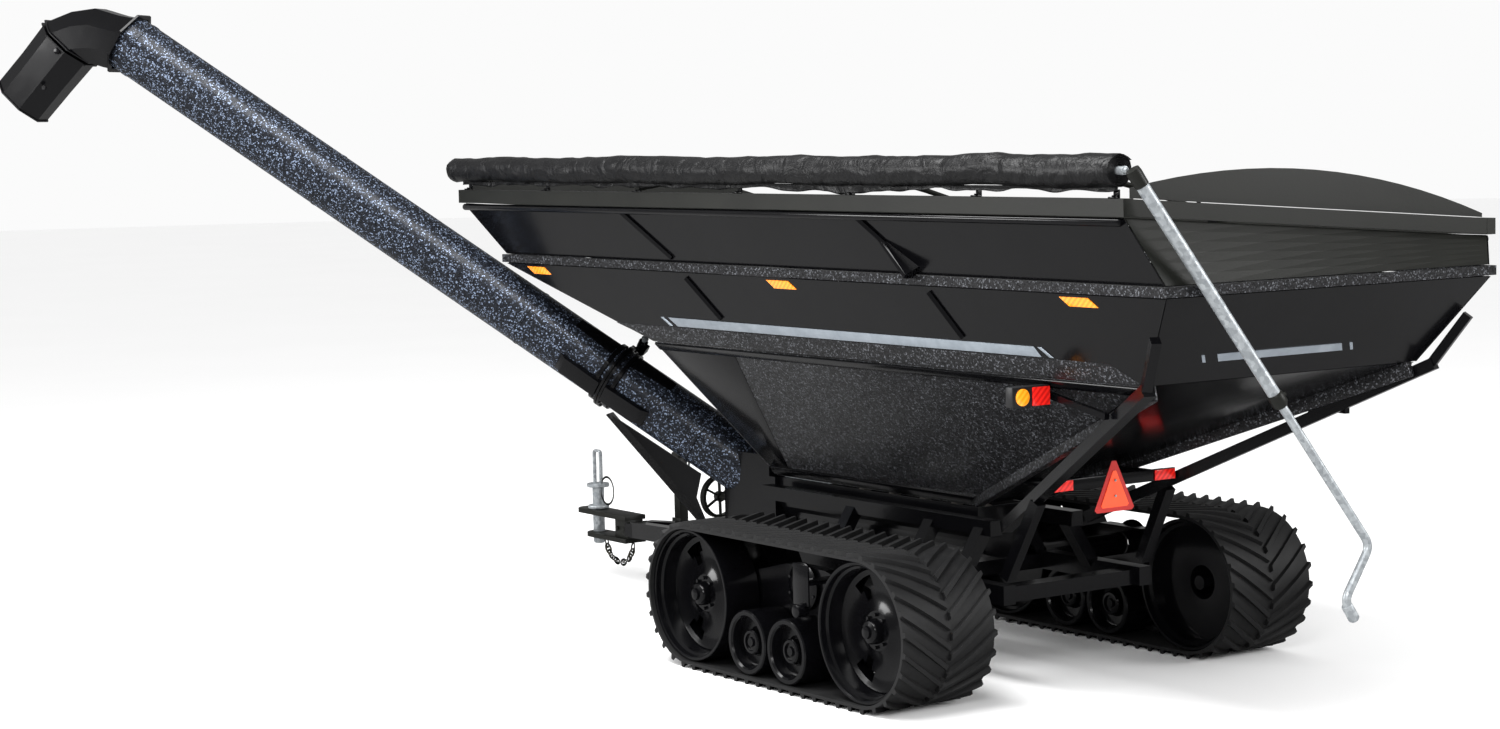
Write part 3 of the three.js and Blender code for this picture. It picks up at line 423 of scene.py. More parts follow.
# ---------------------------------------------------------------- stripes and reflectors
# Silver vinyl stripes with slanted ends are stuck along the foot of the lower walls, and three amber
# prism reflectors sit under the ledge on each side: moulded acrylic 8 mm thick with a facetted back.
silver = mottled_material(
    "silver_vinyl",
    {"Metallic": 0.75, "Roughness": 0.32, "Coat Weight": 0.3, "Coat Roughness": 0.1},
    {"Scale": 9, "Detail": 4},
    ("#8e98a2", "#c0c9d2"),
)


def prism_material(name, dark, light):
    """Moulded acrylic with prism rows drawn 30 mm apart: their bright and dark lines are painted facet light
    and shade, and the colour is also emitted as a painted glow.
    """
    material, tree, shader, where = new_material(
        name, {"Roughness": 0.22, "Coat Weight": 0.8, "Coat Roughness": 0.05, "Emission Strength": 0.25}
    )
    bands = {"Scale": 12, "Distortion": 0}
    prism_rows_and_painted_bands = add_node(tree, "ShaderNodeTexWave", {"bands_direction": "DIAGONAL"}, bands, {"Vector": where})
    tone_and_painted_glow = add_node(tree, "ShaderNodeMix", {"data_type": "RGBA"}, links={"Factor": prism_rows_and_painted_bands.outputs["Fac"]})
    tone_and_painted_glow.inputs["A"].default_value, tone_and_painted_glow.inputs["B"].default_value = linear(dark), linear(light)
    depth = {"Strength": 0.2, "Distance": 0.002}
    ridges = add_node(tree, "ShaderNodeBump", values=depth, links={"Height": prism_rows_and_painted_bands.outputs["Fac"]})
    tree.links.new(tone_and_painted_glow.outputs["Result"], shader.inputs["Base Color"])
    tree.links.new(tone_and_painted_glow.outputs["Result"], shader.inputs["Emission Color"])
    tree.links.new(ridges.outputs["Normal"], shader.inputs["Normal"])
    return material


# the reflectors' prism lines are painted facet light and shade, and their colour also shines as a painted
# glow
amber = prism_material("amber_prism_acrylic_painted_light", "#e87c08", "#ff9c1c")
STRIPE_Z, STRIPE_HEIGHT = 2.748, 0.074
STRIPE_LIFT, FILM = 0.009, 0.004  # the film is drawn thick, to stand clear of the band under it
SLANT = 0.10
REFLECTOR_PLACES = (8.06, 4.27, 0.71)
for word, side in (("left", 1), ("right", -1)):
    bm = bmesh.new()
    low, high = STRIPE_Z - STRIPE_HEIGHT / 2, STRIPE_Z + STRIPE_HEIGHT / 2
    main = [(6.10 + SLANT / 2, high), (1.36, high), (1.36 - SLANT / 2, low), (6.10 - SLANT / 2, low)]
    plate_in(bm, facing(side, [on_lower_wall(side, x, z, STRIPE_LIFT) for x, z in main]), FILM, 0.0015)
    for x in (6.20, 1.25):
        slash = [(x + SLANT / 2 + 0.02, high), (x + SLANT / 2 - 0.02, high), (x - SLANT / 2 - 0.02, low),
                 (x - SLANT / 2 + 0.02, low)]
        plate_in(bm, facing(side, [on_lower_wall(side, x, z, STRIPE_LIFT) for x, z in slash]), FILM, 0.0015)
    piece(word + "_stripe", bm, "cart", silver)
    bm = bmesh.new()
    for x in REFLECTOR_PLACES:
        shape = [(x + 0.19, 3.168), (x - 0.11, 3.168), (x - 0.19, 3.102), (x + 0.11, 3.102)]
        plate_in(bm, facing(side, [on_lower_wall(side, x, z, 0.004) for x, z in shape]), 0.008, 0.002)
    piece(word + "_amber_reflectors", bm, "cart", amber)


def on_rear_wall(y, z, lift):
    rear_x, foot_x = -0.180, 0.300
    slope = (foot_x - rear_x) / (LOWER_HEAD - SKIRT_Z)
    out = Vector((-1, 0, -slope)).normalized()
    return spot(foot_x - (z - SKIRT_Z) * slope, y, z) + out * lift


bm = bmesh.new()
low, high = 2.700, 2.756
shape = [(0.82, high), (-0.40, high), (-0.45, low), (0.77, low)]
plate_in(bm, [on_rear_wall(y, z, SKIN_GAP) for y, z in shape], TRIM, 0.001)
for y in (0.93, -0.52):
    shape = [(y + 0.04, high), (y + 0.01, high), (y - 0.04, low), (y - 0.01, low)]
    plate_in(bm, [on_rear_wall(a, z, SKIN_GAP) for a, z in shape], TRIM, 0.001)
piece("rear_stripe", bm, "cart", silver)

# ---------------------------------------------------------------- roll tarp
# The cover is coated vinyl cloth, 3.25 m wide and as long as the tank, wound seven loose turns on a
# steel tube. It creases as it is wound, and its free edge hangs in scallops under the roll.
vinyl = mottled_material(
    "coated_vinyl_cloth",
    {"Specular IOR Level": 0.25, "Coat Weight": 0.05, "Coat Roughness": 0.25},
    {"Scale": 5, "Detail": 6, "Distortion": 0.8},
    ("#050506", "#0d0d0f"),
    (0.28, 0.55),
    ((None, 1.0, 0.05), ({"Scale": 90, "Detail": 2}, 0.1, 0.002)),
)

roll_low, roll_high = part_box("tarp_roll")
ROLL_CORE, ROLL_OUTER = 0.036, (roll_high.z - roll_low.z) / 2
ROLL_CENTRE = (roll_low + roll_high) / 2
ROLL_LENGTH = roll_high.x - roll_low.x
TURNS = 7
CLOTH_STEPS_ROUND, CLOTH_STEPS_LONG = 20, 150
bm = bmesh.new()
bmesh.ops.create_grid(bm, x_segments=CLOTH_STEPS_LONG, y_segments=TURNS * CLOTH_STEPS_ROUND, size=0.5)
for v in bm.verts:
    along, wound = v.co.x + 0.5, v.co.y + 0.5
    angle = 2 * math.pi * TURNS * wound + 2.6
    radius = ROLL_CORE + (ROLL_OUTER - 0.010 - ROLL_CORE) * wound
    x = roll_low.x + 0.002 + (ROLL_LENGTH - 0.004) * along
    outer = max(0.0, wound - 0.7) / 0.3
    seed = Vector((x * 1.7, math.cos(angle) * 0.5, math.sin(angle) * 0.5 + wound * 3))
    crumple = noise.noise(seed) * 0.024 + noise.noise(seed * 3.1) * 0.014
    radius += crumple * outer - 0.006 * outer
    spiral = math.sin(x * 2.9 + angle * 1.0) * 0.006 * outer
    radius = min(radius + spiral, ROLL_OUTER + 0.006)
    v.co = Vector((x, ROLL_CENTRE.y + radius * math.cos(angle), ROLL_CENTRE.z + radius * math.sin(angle)))
tarp = piece("rolled_tarp", bm, "cart", vinyl, 80)
thick = tarp.modifiers.new("cloth", "SOLIDIFY")
thick.thickness = 0.0025
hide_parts("tarp_roll")

# The hem that hangs below the roll is the last hand's breadth of the same cloth, left loose in scallops.
HEM_DROP = 0.085
bm = bmesh.new()
bmesh.ops.create_grid(bm, x_segments=220, y_segments=5, size=0.5)
for v in bm.verts:
    along, down = v.co.x + 0.5, 0.5 - v.co.y
    x = roll_low.x + 0.05 + (ROLL_LENGTH - 0.10) * along
    scallop = 0.5 + 0.5 * noise.noise(Vector((x * 1.5, 4.2, 0)))
    scallop += 0.35 * noise.noise(Vector((x * 4.1, 1.2, 0)))
    fall = HEM_DROP * min(1.0, max(0.25, scallop)) * down
    bulge = 0.018 * noise.noise(Vector((x * 3.0, down, 7.0)))
    v.co = Vector((x, ROLL_CENTRE.y - 0.028 + bulge * down, ROLL_CENTRE.z - ROLL_OUTER + 0.022 - fall))
hem = piece("tarp_hem", bm, "cart", vinyl, 80)
thick = hem.modifiers.new("cloth", "SOLIDIFY")
thick.thickness = 0.003

# Stops of bent flat bar hold the roll off the rail; they are bolted to the rail's top.
bm = bmesh.new()
for x in (0.10, 1.55, 3.05, 4.55, 6.05, 7.55, 8.95):
    hull_in(bm, spot(x - 0.03, 1.765, rail_high.z + 0.001), spot(x + 0.03, 1.825, rail_high.z + 0.012), 0.003)
    hull_in(bm, spot(x - 0.03, 1.765, rail_high.z + 0.004), spot(x + 0.03, 1.775, rail_high.z + 0.060), 0.003)
    rod_in(bm, spot(x, 1.80, rail_high.z + 0.012), spot(x, 1.80, rail_high.z + 0.022), 0.012, 6)
piece("tarp_stops", bm, "cart", gloss)

# ---------------------------------------------------------------- crank
# The roll is wound by hand with a galvanised steel crank: a thick upper tube, a thinner rod that
# slides in it, and a bent throw with a sleeve. Dull hot-dip zinc shows a faint grey spangle.
zinc, tree, shader, where = new_material("hot_dip_zinc", {"Metallic": 0.6, "Roughness": 0.45})
SPANGLE = 1 / 0.030  # crystals are drawn 30 mm across
crystals = add_node(tree, "ShaderNodeTexVoronoi", values={"Scale": SPANGLE}, links={"Vector": where})
tone = add_node(tree, "ShaderNodeSeparateColor", links={"Color": crystals.outputs["Color"]})
shade = add_node(tree, "ShaderNodeMix", {"data_type": "RGBA"}, links={"Factor": tone.outputs["Red"]})
shade.inputs["A"].default_value, shade.inputs["B"].default_value = linear("#8f9498"), linear("#b4b9bc")
spread, depth = {"To Min": 0.35, "To Max": 0.55}, {"Strength": 0.15, "Distance": 0.003}
rough = add_node(tree, "ShaderNodeMapRange", values=spread, links={"Value": tone.outputs["Green"]})
pits = add_node(tree, "ShaderNodeTexNoise", values={"Scale": 45, "Detail": 3}, links={"Vector": where})
skin = add_node(tree, "ShaderNodeBump", values=depth, links={"Height": pits.outputs["Fac"]})
tree.links.new(shade.outputs["Result"], shader.inputs["Base Color"])
tree.links.new(rough.outputs["Result"], shader.inputs["Roughness"])
tree.links.new(skin.outputs["Normal"], shader.inputs["Normal"])


def loft_in(bm, stations, sides=16, caps=True):
    """Bridges unit circles, each placed and sized by its matrix."""
    rings = []
    for place in stations:
        made = bmesh.ops.create_circle(bm, segments=sides, radius=1, cap_ends=False, matrix=place)
        rings.append(list({e for v in made["verts"] for e in v.link_edges}))
    for near, far in zip(rings, rings[1:]):
        bmesh.ops.bridge_loops(bm, edges=near + far)
    if caps:
        for ring in (rings[0], rings[-1]):
            bmesh.ops.contextual_create(bm, geom=ring)


def swept_in(bm, points, radius, sides=14):
    """A round bar along a route, its sections turned to the route's own direction at each point."""
    stations = []
    for i, point in enumerate(points):
        near, far = points[max(0, i - 1)], points[min(len(points) - 1, i + 1)]
        stations.append(Matrix.Translation(point) @ (far - near).to_track_quat("Z", "Y").to_matrix().to_4x4()
                        @ Matrix.Diagonal((radius, radius, 1, 1)))
    loft_in(bm, stations, sides)


def rounded_route(corners, radius, steps=6):
    """The corners of a route with each bend turned into a short arc."""
    route = [corners[0]]
    for before, corner, after in zip(corners, corners[1:], corners[2:]):
        start = corner + (before - corner).normalized() * radius
        end = corner + (after - corner).normalized() * radius
        for i in range(steps + 1):
            t = i / steps
            route.append(start.lerp(corner, t).lerp(corner.lerp(end, t), t))
    return route + [corners[-1]]


CRANK_TOP, CRANK_BEND = spot(-0.125, 1.815, 4.028), spot(-0.600, 0.114, 1.430)
CRANK_THROW, CRANK_GRIP = spot(-0.600, 0.366, 1.070), spot(-0.600, 0.267, 0.930)
run = CRANK_BEND - CRANK_TOP
joint_at = CRANK_TOP + run * 0.6
bm = bmesh.new()
swept_in(bm, [CRANK_TOP + run * t for t in (0.0, 0.3, 0.6)], 0.046, 24)
lower = rounded_route([joint_at - run * 0.01, CRANK_BEND, CRANK_THROW, CRANK_GRIP], 0.075)
swept_in(bm, lower, 0.031, 18)
turned_in(
    bm,
    [(0, 0), (0.030, 0), (0.040, 0.010), (0.040, 0.125), (0.034, 0.135), (0, 0.135)],
    CRANK_GRIP + (CRANK_THROW - CRANK_GRIP).normalized() * 0.002,
    (CRANK_THROW - CRANK_GRIP),
    24,
)
handle = piece("crank_handle", bm, "crank", zinc)
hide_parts("crank_rod")
bm = bmesh.new()
axis = run.normalized()
turned_in(
    bm,
    [(0, -0.055), (0.050, -0.055), (0.056, -0.045), (0.056, 0.030), (0.040, 0.055), (0, 0.055)],
    joint_at,
    axis,
    28,
)
screw_way = axis.cross(AHEAD)
rod_in(bm, joint_at + screw_way * 0.05, joint_at + screw_way * 0.078, 0.014, 6)
turned_in(bm, [(0, -0.03), (0.050, -0.03), (0.054, 0), (0.050, 0.10), (0, 0.10)], CRANK_TOP, axis, 28)
piece("crank_collar", bm, "crank", satin)

tube_low, tube_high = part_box("tarp_tube")
start = Vector((tube_low.x, (tube_low.y + tube_high.y) / 2, (tube_low.z + tube_high.z) / 2))
bm = bmesh.new()
TUBE, TUBE_LONG, CUP = (tube_high.z - tube_low.z) / 2, tube_high.x - tube_low.x, 0.030
stub = [(0, 0), (0.016, 0), (0.020, 0.006), (0.020, 0.020), (TUBE, 0.022)]
mouth = [(TUBE, TUBE_LONG - 0.004), (TUBE - 0.005, TUBE_LONG)]
mouth += [(TUBE - 0.006, TUBE_LONG - CUP), (0, TUBE_LONG - CUP)]
turned_in(bm, stub + mouth, start, AHEAD, 32)
shaft = piece("roll_tube", bm, "tarp_shaft", zinc)
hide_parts("tarp_tube")

# ---------------------------------------------------------------- corner auger
# Two lengths of 7 mm rolled tube meet at a bolted flange hinge, so the upper one folds back. Each
# flange is cut plate with sixteen bolts, and strap plates along the joint carry the hinge and latch.
HINGE, AUGER = spot(7.9, 0.9, 2.13), Vector((0.6289, 0.5441, 0.5554)).normalized()
JOINT_GAP = 0.0045  # each flange stands this far off the fold's middle
TUBE_R, TUBE_BORE, FLANGE_R, FLANGE = 0.270, 0.263, 0.315, 0.022
FOLDED = Vector((0.5, -0.77, 0.4)).normalized()
fold_side = (FOLDED - AUGER * FOLDED.dot(AUGER)).normalized()
fold_axis = AUGER.cross(fold_side).normalized()


def tube_in(bm, start, length, bands):
    outline = [(TUBE_BORE, start), (TUBE_R, start)]
    for low, wide, proud in bands:
        outline += [(TUBE_R, low), (TUBE_R + proud, low + proud), (TUBE_R + proud, low + wide - proud),
                    (TUBE_R, low + wide)]
    outline += [(TUBE_R, start + length), (TUBE_BORE, start + length), (TUBE_BORE, start)]
    turned_in(bm, outline, HINGE, AUGER, 72)


def bolt_ring_in(bm, at_height, radius, count, head=0.014, tall=0.012, towards=1):
    for i in range(count):
        angle = 2 * math.pi * (i + 0.5) / count
        out = fold_side * math.cos(angle) + fold_axis * math.sin(angle)
        base = HINGE + out * radius + AUGER * at_height
        rod_in(bm, base, base + AUGER * tall * towards, head, 6)


bm = bmesh.new()
tube_in(bm, JOINT_GAP, 5.6955, ((0.95, 0.030, 0.004), (3.3, 0.030, 0.004), (5.55, 0.05, 0.006)))
upper = piece("upper_tube", bm, "auger", blue_flake)
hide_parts("upper_auger_tube")
bm = bmesh.new()
tube_in(bm, -1.640, 1.6355, ((-1.0, 0.040, 0.008),))
lower_tube = piece("lower_tube", bm, "cart", blue_flake)
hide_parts("lower_auger_tube")

PIN_REACH, PIN_R = 0.368, 0.022
STRAP, STRAP_HALF_ANGLE = 0.42, 0.34
COVER, COVER_WIDE, COVER_PROUD = 0.46, 0.17, 0.060
hinge_line = HINGE + fold_side * PIN_REACH
for word, body, sign, ears in (("upper", "auger", 1, (-0.1, 0.1)), ("lower", "cart", -1, (-0.2, 0.2))):
    bm = bmesh.new()
    turned_in(bm, washer(TUBE_R + 0.001, FLANGE_R, JOINT_GAP, JOINT_GAP + FLANGE), HINGE, AUGER * sign, 64)
    collar = [(TUBE_R + 0.001, 0.060), (TUBE_R + 0.022, 0.066), (TUBE_R + 0.022, 0.100),
              (TUBE_R + 0.001, 0.106), (TUBE_R + 0.001, 0.060)]
    turned_in(bm, collar, HINGE, AUGER * sign, 64)
    bolt_ring_in(bm, sign * (JOINT_GAP + FLANGE), (TUBE_R + FLANGE_R) / 2, 16, towards=sign)
    for shift in ears:
        middle = hinge_line + fold_axis * shift
        rod_in(bm, middle - fold_axis * 0.040, middle + fold_axis * 0.040, 0.044, 24, 0.004)
        foot = middle - fold_side * 0.052 + AUGER * sign * 0.042
        size = Matrix.Diagonal((0.076, 0.070, 0.096, 1))
        turn = Matrix((fold_axis, AUGER * sign, fold_side)).transposed().to_4x4()
        cube_in(bm, Matrix.Translation(foot) @ turn @ size, 0.006)
    # strap plates lie along the tube on three sides, curved to it, with a row of bolts
    for turn_to in (0.0, math.pi / 2, 3 * math.pi / 2):
        made = bmesh.ops.create_grid(bm, x_segments=8, y_segments=4, size=0.5)
        for v in made["verts"]:
            taper = 1 - 0.35 * (v.co.y + 0.5)
            angle = turn_to + v.co.x * 2 * STRAP_HALF_ANGLE * taper
            reach = sign * (0.11 + STRAP * (v.co.y + 0.5))
            away = fold_side * math.cos(angle) + fold_axis * math.sin(angle)
            v.co = HINGE + away * (TUBE_R + 0.0015) + AUGER * reach
        faces = list({f for v in made["verts"] for f in v.link_faces})
        bmesh.ops.recalc_face_normals(bm, faces=faces)
        out = sum((f.normal.dot((f.calc_center_median() - HINGE)) for f in faces), 0.0)
        if out < 0:
            bmesh.ops.reverse_faces(bm, faces=faces)
        bmesh.ops.solidify(bm, geom=faces, thickness=-0.012)
        for k in (0.2, 0.5, 0.8):
            out = fold_side * math.cos(turn_to) + fold_axis * math.sin(turn_to)
            base = HINGE + out * (TUBE_R + 0.012) + AUGER * sign * (0.11 + STRAP * k)
            rod_in(bm, base, base + out * 0.014, 0.015, 6)
    # opposite the pin a long folded cover hides the latch: a box with a sloping back
    latch = -fold_side
    near, far = HINGE + AUGER * sign * 0.034, HINGE + AUGER * sign * (0.034 + COVER)
    sunk, proud = latch * (TUBE_R + 0.002), latch * (TUBE_R + COVER_PROUD)
    shoulder = far - AUGER * sign * 0.07 + latch * (TUBE_R + COVER_PROUD * 0.8)
    corners = [near + sunk, near + proud, shoulder, far + sunk]
    corners = [corner - fold_axis * COVER_WIDE / 2 for corner in corners]
    face_way = (corners[1] - corners[0]).cross(corners[2] - corners[0]).dot(fold_axis)
    plate_in(bm, corners if face_way > 0 else corners[::-1], COVER_WIDE, 0.006)
    piece(word + "_hinge_flange", bm, body, gloss)

bm = bmesh.new()
ends = hinge_line - fold_axis * 0.280, hinge_line + fold_axis * 0.280
rod_in(bm, ends[0], ends[1], PIN_R, 20, 0.004)
for end, way in ((ends[0], 1), (ends[1], -1)):
    turned_in(bm, washer(PIN_R + 0.001, 0.034, 0.006, 0.014), end, fold_axis * way, 20)
pin = piece("fold_pin", bm, "cart", zinc)
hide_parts("hinge_pin")

# Screw steel: polished by grain on its flights and browned elsewhere.
steel = mottled_material(
    "worn_screw_steel",
    {"Metallic": 0.9},
    {"Scale": 7, "Detail": 6},
    ("#5d564e", "#a5a19b"),
    (0.28, 0.55),
)
paint(steel, "lower_flighting", "upper_flighting", "floor_auger")
paint(zinc, "flow_door")

# ---------------------------------------------------------------- elbow and spout
# The delivery end is mitred from flat-sided sheet: an elbow in four bends off the tube, and below it a
# spout that tips on two bolts. Both are 6 mm sheet, seam welded and painted with the tank.
level = Vector((AUGER.x, AUGER.y, 0)).normalized()
sideways = Vector((-level.y, level.x, 0))


def in_plane(reach, height):
    return HINGE + level * reach + Vector((0, 0, height - HINGE.z))


def hood_station(low, high, half):
    """A section of the hood, from its lowest and highest points in the auger's upright plane."""
    a, b = in_plane(*low), in_plane(*high)
    up = (b - a).normalized()
    turn = Matrix((sideways, up, sideways.cross(up))).transposed().to_4x4()
    corner = Matrix.Rotation(math.pi / 8, 4, "Z")
    reach = 1 / math.cos(math.pi / 8)
    size = Matrix.Diagonal((half * reach, (b - a).length / 2 * reach, 1, 1))
    return Matrix.Translation((a + b) / 2) @ turn @ size @ corner


def hood_in(bm, stations, wall, sides=8):
    before = set(bm.faces)
    loft_in(bm, stations, sides, caps=False)
    skin_faces = [f for f in bm.faces if f not in before]
    bmesh.ops.recalc_face_normals(bm, faces=skin_faces)
    centre = sum((v.co for v in bm.verts), Vector()) / len(bm.verts)
    if sum(f.normal.dot(f.calc_center_median() - centre) for f in skin_faces) < 0:
        bmesh.ops.reverse_faces(bm, faces=skin_faces)
    bmesh.ops.solidify(bm, geom=skin_faces, thickness=wall)


ELBOW = [((4.885, 5.060), (4.590, 5.522)), ((4.975, 5.082), (4.790, 5.562)), ((5.040, 5.102), (5.030, 5.636)),
         ((5.095, 5.117), (5.275, 5.612)), ((5.138, 5.132), (5.548, 5.522))]
bm = bmesh.new()
hood_in(bm, [hood_station(low, high, 0.268) for low, high in ELBOW], 0.006)
elbow = piece("elbow_hood", bm, "auger", gloss, 12)
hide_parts("auger_elbow")
bm = bmesh.new()


def collar_in(bm, low, high, half, proud, thick):
    """A flat flange round the hood: an outline between two stations and its twin, a little larger."""
    inner = hood_station(low, high, half)
    a, b = Vector(low), Vector(high)
    grow = (b - a).normalized() * proud
    outer = hood_station(tuple(a - grow), tuple(b + grow), half + proud)
    push = (inner.to_3x3() @ UP).normalized() * thick
    made = []
    for place in (inner, outer):
        for shift in (Vector(), push):
            ring = bmesh.ops.create_circle(
                bm, segments=8, radius=1, cap_ends=False, matrix=Matrix.Translation(shift) @ place
            )
            made.append(list({e for v in ring["verts"] for e in v.link_edges}))
    for one, two in ((0, 1), (1, 3), (3, 2), (2, 0)):
        bmesh.ops.bridge_loops(bm, edges=made[one] + made[two])


collar_in(bm, *ELBOW[0], 0.275, 0.034, 0.020)
collar_in(bm, *ELBOW[-1], 0.269, 0.020, -0.012)
piece("elbow_flanges", bm, "auger", gloss, 30)

SPOUT = [((5.166, 5.118), (5.570, 5.504)), ((5.420, 4.868), (5.812, 5.240)), ((5.698, 4.584), (6.085, 4.966))]
bm = bmesh.new()
hood_in(bm, [hood_station(low, high, half) for (low, high), half in zip(SPOUT, (0.262, 0.250, 0.232))], 0.006)
spout = piece("spout", bm, "spout", gloss, 12)
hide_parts("spout_hood")
bm = bmesh.new()
collar_in(bm, *SPOUT[0], 0.262, 0.022, 0.014)
collar_in(bm, *SPOUT[-1], 0.232, 0.012, -0.014)
for way in (1, -1):
    base = in_plane(5.52, 4.90) + sideways * way * 0.243
    rod_in(bm, base, base + sideways * way * 0.022, 0.022, 6)
    base = in_plane(5.36, 5.24) + sideways * way * 0.252
    rod_in(bm, base, base + sideways * way * 0.030, 0.030, 20, 0.004)
piece("spout_fittings", bm, "spout", gloss, 30)

# ---------------------------------------------------------------- tracks
# Each bogie carries a moulded rubber belt with a steel core. Chevron lugs 34 mm tall stand in two
# staggered rows that meet at the middle, and guide blocks inside run between the wheel halves.
rubber = mottled_material(
    "moulded_black_rubber",
    {"Specular IOR Level": 0.4},
    {"Scale": 6, "Detail": 7},
    ("#09090a", "#161617"),
    (0.48, 0.75),
    (({"Scale": 70, "Detail": 3}, 0.25, 0.004),),
)

WHEEL_R, BELT_R, ROLLER_R = 0.538, 0.601, 0.258
BAND_IN, BAND_OUT = WHEEL_R + 0.004, BELT_R - 0.034
LUG_PAIRS, LUG_WIDE, LUG_SWEEP = 54, 0.052, 0.30


def wrap_round(bm, front_x, rear_x, axle_z):
    """Bends a belt laid out flat (x along it, z its height from the wheel's axis) round both wheels."""
    straight, arc = front_x - rear_x, math.pi * BAND_OUT
    for v in bm.verts:
        u, h = v.co.x % (2 * straight + 2 * arc), v.co.z
        if u < straight:
            x, z = rear_x + u, -h
        elif u < straight + arc:
            a = (u - straight) / BAND_OUT
            x, z = front_x + h * math.sin(a), -h * math.cos(a)
        elif u < 2 * straight + arc:
            x, z = front_x - (u - straight - arc), h
        else:
            a = (u - 2 * straight - arc) / BAND_OUT
            x, z = rear_x - h * math.sin(a), h * math.cos(a)
        v.co.x, v.co.z = x, axle_z + z


for word in ("left", "right"):
    low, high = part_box(word + "_belt")
    front_low, front_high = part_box(word + "_front_wheel")
    rear_low, rear_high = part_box(word + "_rear_wheel")
    front_x, rear_x = (front_low.x + front_high.x) / 2, (rear_low.x + rear_high.x) / 2
    axle_z = (front_low.z + front_high.z) / 2
    middle, half = (low.y + high.y) / 2, (high.y - low.y) / 2
    length = 2 * (front_x - rear_x) + 2 * math.pi * BAND_OUT
    pitch = length / LUG_PAIRS
    bm = bmesh.new()
    bmesh.ops.create_cube(
        bm, size=1,
        matrix=Matrix.Translation((length / 2, middle, (BAND_IN + BAND_OUT) / 2))
        @ Matrix.Diagonal((length, 2 * half - 0.02, BAND_OUT - BAND_IN, 1)),
    )
    long_edges = [e for e in bm.edges if abs(e.verts[0].co.x - e.verts[1].co.x) > 1]
    bmesh.ops.subdivide_edges(bm, edges=long_edges, cuts=160, use_grid_fill=True)
    ends = [f for f in bm.faces if len({round(v.co.x, 3) for v in f.verts}) == 1]
    bmesh.ops.delete(bm, geom=ends, context="FACES")
    wrap_round(bm, front_x, rear_x, axle_z)
    bmesh.ops.remove_doubles(bm, verts=bm.verts, dist=1e-4)
    band = piece(word + "_belt_band", bm, word + "_bogie", rubber, 50)
    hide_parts(word + "_belt")

    bm = bmesh.new()
    for way, stagger in ((1, 0.0), (-1, 0.5)):
        for i in range(LUG_PAIRS):
            lug_at = (pitch * (i + stagger), middle + way * half / 2, (BAND_OUT + BELT_R) / 2)
            place = Matrix.Translation(lug_at)
            size = Matrix.Diagonal((LUG_WIDE, half * 0.97, BELT_R - BAND_OUT, 1))
            bmesh.ops.create_cube(bm, size=1, matrix=place @ size)
    across = [e for e in bm.edges if abs(e.verts[0].co.y - e.verts[1].co.y) > half * 0.5]
    bmesh.ops.subdivide_edges(bm, edges=across, cuts=4, use_grid_fill=True)
    for v in bm.verts:
        way, stagger = (1, 0.0) if v.co.y > middle else (-1, 0.5)
        place = pitch * (round(v.co.x / pitch - stagger) + stagger)
        outward = max(0.0, (v.co.y - middle) * way / half)
        slope = 1.0 if v.co.z < (BAND_OUT + BELT_R) / 2 else 0.62
        v.co.x = (v.co.x - place) * slope * (1.25 - 0.3 * outward) + place + 0.4 - LUG_SWEEP * outward
    wrap_round(bm, front_x, rear_x, axle_z)
    piece(word + "_lugs", bm, word + "_bogie", rubber, 30)

    bm = bmesh.new()
    for i in range(LUG_PAIRS):
        hull_in(
            bm, (pitch * i + 0.03, middle - 0.045, BAND_IN - 0.055),
            (pitch * i + 0.11, middle + 0.045, BAND_IN + 0.002), 0.012,
        )
    wrap_round(bm, front_x, rear_x, axle_z)
    piece(word + "_guide_blocks", bm, word + "_bogie", rubber, 30)

